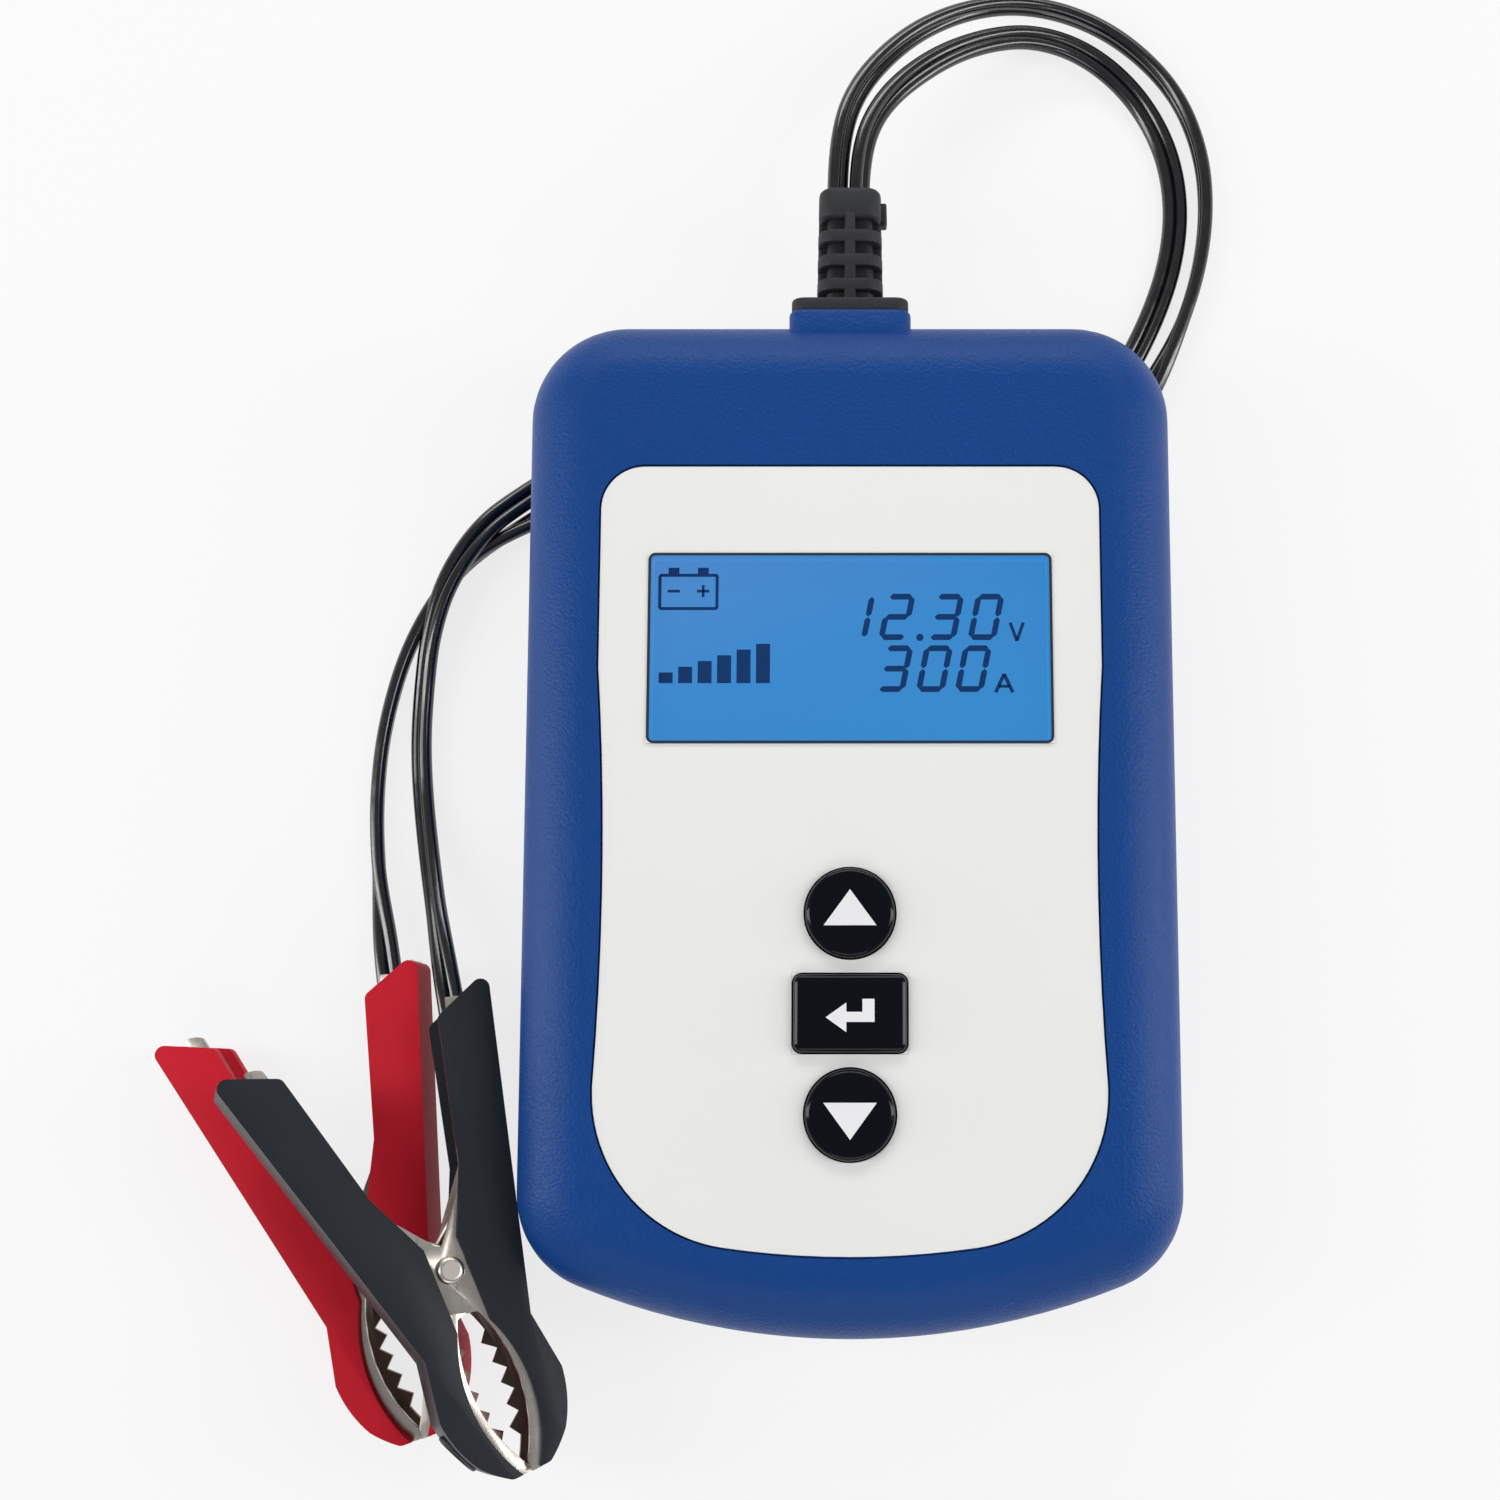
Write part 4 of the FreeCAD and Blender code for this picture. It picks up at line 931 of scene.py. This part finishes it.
@dataclass
class Segments:
    """Slanted seven-bar figures on the display, in millimetres."""

    height: float = 6.1
    width: float = 3.7
    bar: float = 0.76
    gap: float = 0.22
    tip_share: float = 0.42
    lap_share: float = 0.4
    slant: float = 0.2
    thick: float = 0.04
    level: float = 25.62
    point: Spot = (9.0, 21.8)
    point_share: float = 0.62
    point_sides: int = 16
    # Each row's figures, their left ends and their foot
    rows: Sequence[tuple[str, Sequence[float], float]] = (
        ("1230", (-1.6, 3.6, 9.9, 15.1), 21.45),
        ("300", (3.3, 8.4, 13.4), 14.65))
    patterns: dict[str, str] = field(default_factory=lambda: {
        "0": "abcdef", "1": "bc", "2": "abged", "3": "abgcd"})

    def bar_at(self, mesh: Mesh, centre: Spot, length: float, upright: bool, place: Matrix) -> None:
        """Add one bar with pointed ends.

        Args:
            mesh: The mesh to add to.
            centre: Middle of the bar in the figure's own frame.
            length: Length of the bar.
            upright: Whether it stands along the figure.
            place: Where the figure goes.
        """
        size = Matrix.Diagonal((length, self.bar, self.thick, 1.0))
        turn = Matrix.Rotation(math.pi / 2 if upright else 0.0, 4, "Z")
        made = bmesh.ops.create_cube(mesh, size=1.0, matrix=size)["verts"]
        ends = [edge for edge in {edge for vertex in made for edge in vertex.link_edges}
                if abs(edge.verts[0].co.z - edge.verts[1].co.z) > self.thick / 2]
        grown = bmesh.ops.bevel(mesh, geom=ends, offset=self.bar * self.tip_share, offset_type="OFFSET",
                                affect="EDGES", segments=1, profile=0.5, material=-1)
        spots = {vertex for face in grown["faces"] for vertex in face.verts}
        spots |= {vertex for vertex in made if vertex.is_valid}
        moved = place @ Matrix.Translation((*centre, 0.0)) @ turn
        bmesh.ops.transform(mesh, matrix=moved, verts=list(spots))

    def figure(self, mesh: Mesh, sign: str, left: float, low: float) -> None:
        """Add one figure.

        Args:
            mesh: The mesh to add to.
            sign: The figure.
            left: Left end of its foot.
            low: Its foot.
        """
        lean = Matrix.Identity(4)
        lean[0][1] = self.slant
        place = TO_METRES @ Matrix.Translation((left, low, self.level)) @ lean
        inner_high = self.height - self.bar
        inner_wide = self.width - self.bar
        spare = self.bar * self.lap_share - 2 * self.gap
        half = self.bar / 2
        left_x, right_x, middle_x = half, self.width - half, self.width / 2
        upper_y, lower_y = half + inner_high * 3 / 4, half + inner_high / 4
        spots = {
            "a": ((middle_x, self.height - half), False), "g": ((middle_x, self.height / 2), False),
            "d": ((middle_x, half), False), "f": ((left_x, upper_y), True), "b": ((right_x, upper_y), True),
            "e": ((left_x, lower_y), True), "c": ((right_x, lower_y), True)}
        for bar in self.patterns[sign]:
            centre, upright = spots[bar]
            self.bar_at(mesh, centre, (inner_high / 2 if upright else inner_wide) + spare, upright, place)

    def build(self, shop: Workshop) -> None:
        """Draw the reading and its round point.

        Args:
            shop: Materials and scene calls.
        """
        mesh = bmesh.new()
        for signs, lefts, low in self.rows:
            for sign, left in zip(signs, lefts):
                self.figure(mesh, sign, left, low)
        radius = self.bar * self.point_share
        place = TO_METRES @ Matrix.Translation((*self.point, self.level))
        bmesh.ops.create_cone(mesh, cap_ends=True, segments=self.point_sides, radius1=radius,
                              radius2=radius, depth=self.thick, matrix=place)
        shop.add(mesh, "display_figures", "segment_ink", Body.TESTER, "display_blue")


@dataclass
class DisplayMarks:
    """Plain marks on the display, in millimetres: two units, a battery sign and a row of level blocks."""

    level: float = 25.61
    thick: float = 0.03
    # A stroke has two ends and a width
    volt: Sequence[Stroke] = (
        ((20.65, 23.75), (21.5, 21.35), 0.42), ((22.35, 23.75), (21.5, 21.35), 0.42))
    ampere: Sequence[Stroke] = (
        ((18.7, 14.6), (19.8, 17.0), 0.46), ((20.9, 14.6), (19.8, 17.0), 0.46),
        ((19.1, 15.4), (20.5, 15.4), 0.4))
    battery_case: Sequence[Stroke] = (
        ((-24.6, 30.0), (-17.2, 30.0), 0.4), ((-24.6, 25.6), (-17.2, 25.6), 0.4),
        ((-24.6, 30.0), (-24.6, 25.6), 0.4), ((-17.2, 30.0), (-17.2, 25.6), 0.4))
    battery_posts: Sequence[Stroke] = (
        ((-23.5, 30.6), (-22.1, 30.6), 0.8), ((-19.7, 30.6), (-18.3, 30.6), 0.8))
    battery_poles: Sequence[Stroke] = (
        ((-23.6, 27.9), (-22.0, 27.9), 0.36), ((-19.8, 27.9), (-18.2, 27.9), 0.36),
        ((-19.0, 27.1), (-19.0, 28.7), 0.36))
    block_count: int = 6
    block_corner: Spot = (-24.6, 15.8)
    block_pitch: float = 2.5
    block_width: float = 1.8
    block_height: float = 1.4
    block_growth: float = 0.75

    def build(self, shop: Workshop) -> None:
        """Draw the marks.

        Args:
            shop: Materials and scene calls.
        """
        mesh = bmesh.new()
        strokes = (*self.volt, *self.ampere, *self.battery_case, *self.battery_posts, *self.battery_poles)
        for start, end, width in strokes:
            first, last = Vector(start), Vector(end)
            across = (last - first).orthogonal().normalized() * width / 2
            corners = (first + across, first - across, last - across, last + across)
            shop.plate(mesh, [tuple(corner) for corner in corners], self.level, self.thick)
        for number in range(self.block_count):
            left, low = self.block_corner[0] + self.block_pitch * number, self.block_corner[1]
            right, high = left + self.block_width, low + self.block_height + self.block_growth * number
            corners = ((left, low), (right, low), (right, high), (left, high))
            shop.plate(mesh, corners, self.level, self.thick)
        shop.add(mesh, "display_marks", "segment_ink", Body.TESTER, "display_blue")


@dataclass
class WindowBorder:
    """The thin dark line printed round the window, and the lit walls between the window and the display."""

    centre_y: float = 20.0
    width: float = 51.8
    height: float = 24.8
    line: float = 0.36
    corner: float = 0.9
    least_corner: float = 0.2
    corner_steps: int = 6
    level: float = 28.03
    thick: float = 0.02
    wall_low: float = 25.62
    ledge_level: float = 27.03
    wall_inset: float = 0.54
    ledge_inset: float = 0.12

    def loop(self, inset: float) -> list[Spot]:
        """Draw a rounded outline inside the window's edge.

        Args:
            inset: How far it lies inside.

        Returns:
            Its corners in order.
        """
        radius = max(self.corner - inset, self.least_corner)
        spots = []
        for number, (side_x, side_y) in enumerate(((1, 1), (-1, 1), (-1, -1), (1, -1))):
            for step in range(self.corner_steps + 1):
                turn = math.pi / 2 * (number + step / self.corner_steps)
                x = side_x * (self.width / 2 - inset - radius) + radius * math.cos(turn)
                y = side_y * (self.height / 2 - inset - radius) + radius * math.sin(turn)
                spots.append((x, self.centre_y + y))
        return spots

    def band(self, mesh: Mesh, first: Spot, second: Spot) -> None:
        """Add a thin band round the window between two rounded outlines.

        Args:
            mesh: The mesh to add to.
            first: Inset and height of one outline.
            second: Inset and height of the other.
        """
        edges = []
        for inset, height in (first, second):
            corners = [mesh.verts.new((x * MM, y * MM, height * MM)) for x, y in self.loop(inset)]
            edges += closed_line(mesh, corners)
        faces = bmesh.ops.bridge_loops(mesh, edges=edges)["faces"]
        bmesh.ops.solidify(mesh, geom=faces, thickness=self.thick * MM)
        bmesh.ops.recalc_face_normals(mesh, faces=mesh.faces)

    def build(self, shop: Workshop) -> None:
        """Lay the line on the window, round its corners and line the walls below it.

        Args:
            shop: Materials and scene calls.
        """
        border = bmesh.new()
        self.band(border, (0.0, self.level), (self.line, self.level))
        shop.add(border, "window_border", "border_ink", Body.TESTER, "frame_black")
        walls = bmesh.new()
        self.band(walls, (self.wall_inset, self.wall_low), (self.wall_inset, self.ledge_level))
        self.band(walls, (self.wall_inset, self.ledge_level), (self.ledge_inset, self.ledge_level))
        shop.add(walls, "display_walls", "display_blue", Body.TESTER)
        corners = bmesh.new()
        shop.corner_plates(corners, (0.0, self.centre_y), (self.width / 2, self.height / 2), self.corner,
                           self.level, self.thick)
        shop.add(corners, "window_corners", "panel_white", Body.TESTER)


@dataclass
class Keys:
    """White signs on the keys, and the panel's rounded corners round the middle one, in millimetres."""

    level: float = 29.1
    thick: float = 0.05
    corner_half: Spot = (7.27, 5.02)
    corner_radius: float = 1.22
    panel_level: float = 27.4
    panel_face: float = 27.8
    signs: dict[Body, Sequence[Spot]] = field(default_factory=lambda: {
        Body.UP_KEY: ((-3.3, -15.5), (3.3, -15.5), (0.0, -11.0)),
        Body.ENTER_KEY: ((-3.02, -26.87), (-0.46, -28.7), (-0.46, -27.44), (3.03, -27.44), (3.03, -24.6),
                         (1.53, -24.6), (1.53, -26.2), (-0.46, -26.2), (-0.46, -25.05)),
        Body.DOWN_KEY: ((-3.3, -37.3), (0.0, -41.8), (3.3, -37.3))})

    def corners(self, shop: Workshop) -> None:
        """Fill the corners of the middle key's opening up to its round corners.

        Args:
            shop: Materials and scene calls.
        """
        low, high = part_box("enter_key")
        middle = (low[1] + high[1]) / 2 / MM
        mesh = bmesh.new()
        shop.corner_plates(mesh, (0.0, middle), self.corner_half, self.corner_radius, self.panel_level,
                           self.panel_face - self.panel_level)
        shop.add(mesh, "key_opening_corners", "panel_white", Body.TESTER)

    def build(self, shop: Workshop) -> None:
        """Put the signs on the keys and round the middle opening.

        Args:
            shop: Materials and scene calls.
        """
        for body, spots in self.signs.items():
            mesh = bmesh.new()
            shop.plate(mesh, spots, self.level, self.thick)
            shop.add(mesh, body.value + "_sign", "icon_white", body, "key_black")
        self.corners(shop)


@dataclass
class Outlet:
    """The moulded lead outlet: a flange, an inner core, ribs with spines, and a collar, in millimetres."""

    face: float = 66.6
    level: float = 15.5
    flange: Point = (7.8, 8.3, 1.9)
    flange_round: float = 1.8
    flange_edge: float = 0.3
    length: float = 17.4
    half_width: float = 4.55
    half_height: float = 4.2
    sleeve_round: float = 2.4
    root_edge: float = 0.1
    collar_edge: float = 0.7
    core_inset: float = 1.3
    core_short: float = 1.0
    hidden_edge: float = 0.05
    slot: float = 1.75
    pitch: float = 3.45
    rows: int = 4
    rib_edge: float = 0.2
    spine: float = 0.75
    spine_round: float = 0.25
    side_spine: float = 1.2
    side_spine_round: float = 0.5
    spine_short: float = 2.0
    spine_sink: float = 0.02
    taper: float = 0.07
    nib: Point = (0.55, 1.3, 3.0)
    nib_short: float = 1.2
    nib_round: float = 0.3
    boss: Point = (8.1, 5.0, 9.1)
    boss_round: float = 2.0
    boss_edge: float = 0.5
    boss_gap: float = 0.02
    long_segments: int = 6
    end_segments: int = 3

    def block(self, mesh: Mesh, half: Spot, start: float, end: float, rounding: float, edge: float,
              aside: float = 0.0) -> None:
        """Add a block along the outlet's axis with rounded long edges.

        Args:
            mesh: The mesh to add to.
            half: Half width and half height.
            start: Where it begins along the outlet.
            end: Where it ends.
            rounding: Radius of its long edges.
            edge: Radius of its end edges.
            aside: How far it lies to the right of the axis.
        """
        size = Matrix.Diagonal((half[0] * 2, end - start, half[1] * 2, 1.0))
        place = TO_METRES @ Matrix.Translation((aside, (start + end) / 2, self.level)) @ size
        made = bmesh.ops.create_cube(mesh, size=1.0, matrix=place)["verts"]

        def reach(item: bmesh.types.BMEdge) -> float:
            """Return how far an edge goes along the axis, in millimetres."""
            return abs(item.verts[0].co.y - item.verts[1].co.y) / MM

        edges = {item for vertex in made for item in vertex.link_edges}
        long = [item for item in edges if reach(item) > (end - start) / 2]
        faces = bmesh.ops.bevel(mesh, geom=long, offset=rounding * MM, offset_type="OFFSET", affect="EDGES",
                                segments=self.long_segments, profile=0.5, material=-1)["faces"]
        rim = {item for face in faces for vertex in face.verts for item in vertex.link_edges}
        ends = [item for item in rim if reach(item) < MERGE]
        bmesh.ops.bevel(mesh, geom=ends, offset=edge * MM, offset_type="OFFSET", affect="EDGES",
                        segments=self.end_segments, profile=0.5, material=-1, clamp_overlap=True)

    def build(self, shop: Workshop) -> bpy.types.Object:
        """Build the outlet, and the boss of the case under its flange.

        Args:
            shop: Materials and scene calls.

        Returns:
            The outlet.
        """
        mesh = bmesh.new()
        start = self.face + self.flange[2]
        end = start + self.length
        outer = (self.half_width, self.half_height)
        inner = (self.half_width - self.core_inset, self.half_height - self.core_inset)
        first_rib = start + self.slot * 1.5
        collar = first_rib + self.pitch * (self.rows - 1)
        spine_end = end - self.spine_short
        nib_end = end - self.nib_short
        self.block(mesh, inner, self.face, end - self.core_short, self.sleeve_round - self.core_inset,
                   self.hidden_edge)
        self.block(mesh, outer, collar, end, self.sleeve_round, self.collar_edge)
        self.block(mesh, (self.spine, self.half_height - self.spine_sink), start, spine_end,
                   self.spine_round, self.hidden_edge)
        self.block(mesh, (self.half_width - self.spine_sink, self.side_spine), start, spine_end,
                   self.side_spine_round, self.hidden_edge)
        self.block(mesh, self.nib[:2], nib_end - self.nib[2], nib_end, self.nib_round, self.nib_round,
                   self.half_width + self.nib[0] / 2)
        for row in range(self.rows - 1):
            low = first_rib + self.pitch * row
            self.block(mesh, outer, low, low + self.pitch - self.slot, self.sleeve_round, self.rib_edge)
        for vertex in mesh.verts:
            share = (vertex.co.y / MM - start) / self.length
            vertex.co.x *= 1 - self.taper * max(share, 0.0)
        self.block(mesh, self.flange[:2], self.face, start, self.flange_round, self.flange_edge)
        self.block(mesh, outer, self.face, start + self.slot / 2, self.sleeve_round, self.root_edge)
        bmesh.ops.recalc_face_normals(mesh, faces=mesh.faces)
        outlet = shop.add(mesh, "moulded_outlet", "rubber_black", Body.TESTER)
        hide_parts("strain_relief")
        mesh = bmesh.new()
        self.block(mesh, (self.boss[0], self.boss[2]), self.face - self.boss[1], self.face - self.boss_gap,
                   self.boss_round, self.boss_edge)
        bmesh.ops.recalc_face_normals(mesh, faces=mesh.faces)
        shop.add(mesh, "outlet_boss", "case_blue", Body.TESTER)
        return outlet


@dataclass
class Clip:
    """One test clip: its soft covers with an oval ring, its stamped jaws and its spring.

    Its own frame, in millimetres, lies on the rivet with the tips along X, the fixed half on the side of +Y
    and the thickness along Z. The frame's place is in metres.
    """

    colour: str
    body: Body
    place: Point
    yaw: float
    roll: float
    rounding: float = 1.0
    rounding_segments: int = 5
    edge_segments: int = 2
    cover_edge: float = 0.2
    steel_edge: float = 0.1
    half_thick: float = 4.55
    side_limit: float = 0.5
    back_limit: float = 0.2
    end_limit: float = 0.75
    handle_end: Spot = (-33.0, 17.6)
    handle_slant: float = 0.555
    handle_slope: float = 0.274
    tongue_share: float = 0.42
    tongue_margin: float = 0.25
    ring_centre: Spot = (21.0, -7.0)
    ring_lean: float = 24.0
    ring_half: Spot = (2.7, 2.0)
    ring_bead: float = 0.36
    ring_sides: int = 12
    ring_steps: int = 48
    # The toothed wall of a jaw, from this far along and this deep behind, gets painted shade
    bite_start: float = 6.0
    shade_depth: float = 1.0
    spring_reach: float = 2.2

    def frame(self) -> Matrix:
        """Find the clip's own frame.

        Returns:
            The frame in the scene.
        """
        yaw = Matrix.Rotation(math.radians(self.yaw), 4, "Z")
        roll = Matrix.Rotation(math.radians(self.roll), 4, "X")
        return Matrix.Translation(self.place) @ yaw @ roll

    def local(self, point: Vector) -> Vector:
        """Return a point of the scene in the clip's own frame, in millimetres."""
        return self.frame().inverted() @ point / MM

    def ring(self, shop: Workshop) -> bpy.types.Object:
        """Mould the oval ring on the outside of the moving cover, near its tip.

        Args:
            shop: Materials and scene calls.

        Returns:
            The ring.
        """
        mesh = bmesh.new()
        bead = bmesh.ops.create_circle(mesh, segments=self.ring_sides, radius=self.ring_bead)["verts"]
        upright = Matrix.Rotation(math.pi / 2, 4, "X")
        bmesh.ops.transform(mesh, matrix=Matrix.Translation((1.0, 0.0, 0.0)) @ upright, verts=bead)
        geom = bead + list({edge for vertex in bead for edge in vertex.link_edges})
        bmesh.ops.spin(mesh, geom=geom, cent=(0.0, 0.0, 0.0), axis=(0.0, 0.0, 1.0), angle=2 * math.pi,
                       steps=self.ring_steps, use_merge=True)
        for vertex in mesh.verts:
            away = math.hypot(vertex.co.x, vertex.co.y)
            across = Vector((vertex.co.x / away, vertex.co.y / away))
            vertex.co.x = across.x * (self.ring_half[0] + away - 1.0)
            vertex.co.y = across.y * (self.ring_half[1] + away - 1.0)
        lean = Matrix.Rotation(math.radians(self.ring_lean), 4, "Z")
        local = TO_METRES @ Matrix.Translation((*self.ring_centre, 0.0)) @ lean @ upright
        bmesh.ops.transform(mesh, matrix=self.frame() @ local, verts=mesh.verts)
        bmesh.ops.recalc_face_normals(mesh, faces=mesh.faces)
        return shop.add(mesh, self.colour + "_cover_ring", "cover_" + self.colour, self.body,
                        crease=ROUND_CREASE)

    def spring(self, shop: Workshop) -> bpy.types.Object:
        """Copy the spring into a piece of its own, attached to no body, in place of its node.

        Args:
            shop: Materials and scene calls.

        Returns:
            The spring.
        """
        node = self.colour + "_spring"
        piece = shop.add(shop.copy_of(node), self.colour + "_wound_spring", "nickel_steel", None,
                         crease=ROUND_CREASE)
        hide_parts(node)
        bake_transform(piece)
        return piece

    def outer_edges(self, half: Half) -> Callable[[bmesh.types.BMEdge], bool]:
        """Make a test for the edges round the outside of a cover.

        Args:
            half: The half that the cover is on.

        Returns:
            The test.
        """
        turn = self.frame().inverted().to_3x3()

        def outside(edge: bmesh.types.BMEdge) -> bool:
            """Tell whether an edge bounds a flat side and does not face the other half.

            Args:
                edge: An edge of the cover.

            Returns:
                Whether it lies outside.
            """
            if any(abs(self.local(vertex.co).z) < self.half_thick for vertex in edge.verts):
                return False
            walls = [turn @ face.normal for face in edge.link_faces]
            return any(abs(wall.z) < self.side_limit
                       and (wall.y * half.value > self.back_limit or abs(wall.x) > self.end_limit)
                       for wall in walls)

        return outside

    def painted_shade_at(self, point: Vector) -> float:
        """Return the share of painted shade at a point of a jaw: the toothed wall that lies behind is
        painted darker, for its shade and the painted reflection of the dark cover.
        """
        local = self.local(point)
        return 1.0 if local.x > self.bite_start and local.z < -self.shade_depth else 0.0

    def shorter_tongue(self, point: Vector) -> Vector:
        """Draw the tongue of the moving jaw in towards the slanted end of its handle.

        Args:
            point: A point of the jaw.

        Returns:
            Its new place.
        """
        local = self.local(point)
        end = self.handle_end[0] + (self.handle_end[1] + local.y) * self.handle_slant
        if local.x > end - self.tongue_margin:
            return point
        drawn = (local.x - end) * (1 - self.tongue_share)
        moved = Vector((local.x - drawn, local.y - drawn * self.handle_slope, local.z))
        return self.frame() @ (moved * MM)

    def build(self, shop: Workshop) -> list[bpy.types.Object]:
        """Round the soft covers and the jaws, and add the ring and the spring.

        Args:
            shop: Materials and scene calls.

        Returns:
            The clip's new pieces.
        """
        pieces = []
        for half, body, reshape in ((Half.FIXED, Body.TESTER, None),
                                    (Half.MOVING, self.body, self.shorter_tongue)):
            side = half.name.lower()
            soft = [Round(self.rounding, self.rounding_segments, self.outer_edges(half)),
                    Round(self.cover_edge, self.edge_segments)]
            pieces.append(shop.softened(f"{self.colour}_{side}_cover", f"{self.colour}_soft_{side}_cover",
                                        "cover_" + self.colour, body, soft))
            pieces.append(shop.softened(f"{self.colour}_{side}_jaw", f"{self.colour}_stamped_{side}_jaw",
                                        "nickel_steel", body, [Round(self.steel_edge, self.edge_segments)],
                                        reshape, self.painted_shade_at))
        return [*pieces, self.ring(shop), self.spring(shop)]


CLIPS = (
    Clip("red", Body.RED_HALF, (-0.0645, -0.0556, 0.0046), yaw=-70.5, roll=0.0),
    Clip("black", Body.BLACK_HALF, (-0.0515, -0.0588, 0.016), yaw=-66.0, roll=-20.0),
)


def main() -> None:
    """Build the dressed tester and its stage."""
    logging.basicConfig(level=logging.INFO, format="%(message)s")
    bpy.context.scene.view_settings.view_transform = "Standard"
    shop = Workshop()
    Studio().build()
    dress_nodes(shop)
    carried = {clip.colour: clip.build(shop) for clip in CLIPS}
    carried["red"].append(Outlet().build(shop))
    for lead in LEADS:
        lead.build(shop, carried[lead.clip])
    Segments().build(shop)
    DisplayMarks().build(shop)
    WindowBorder().build(shop)
    Keys().build(shop)


if __name__ == "__main__":
    main()
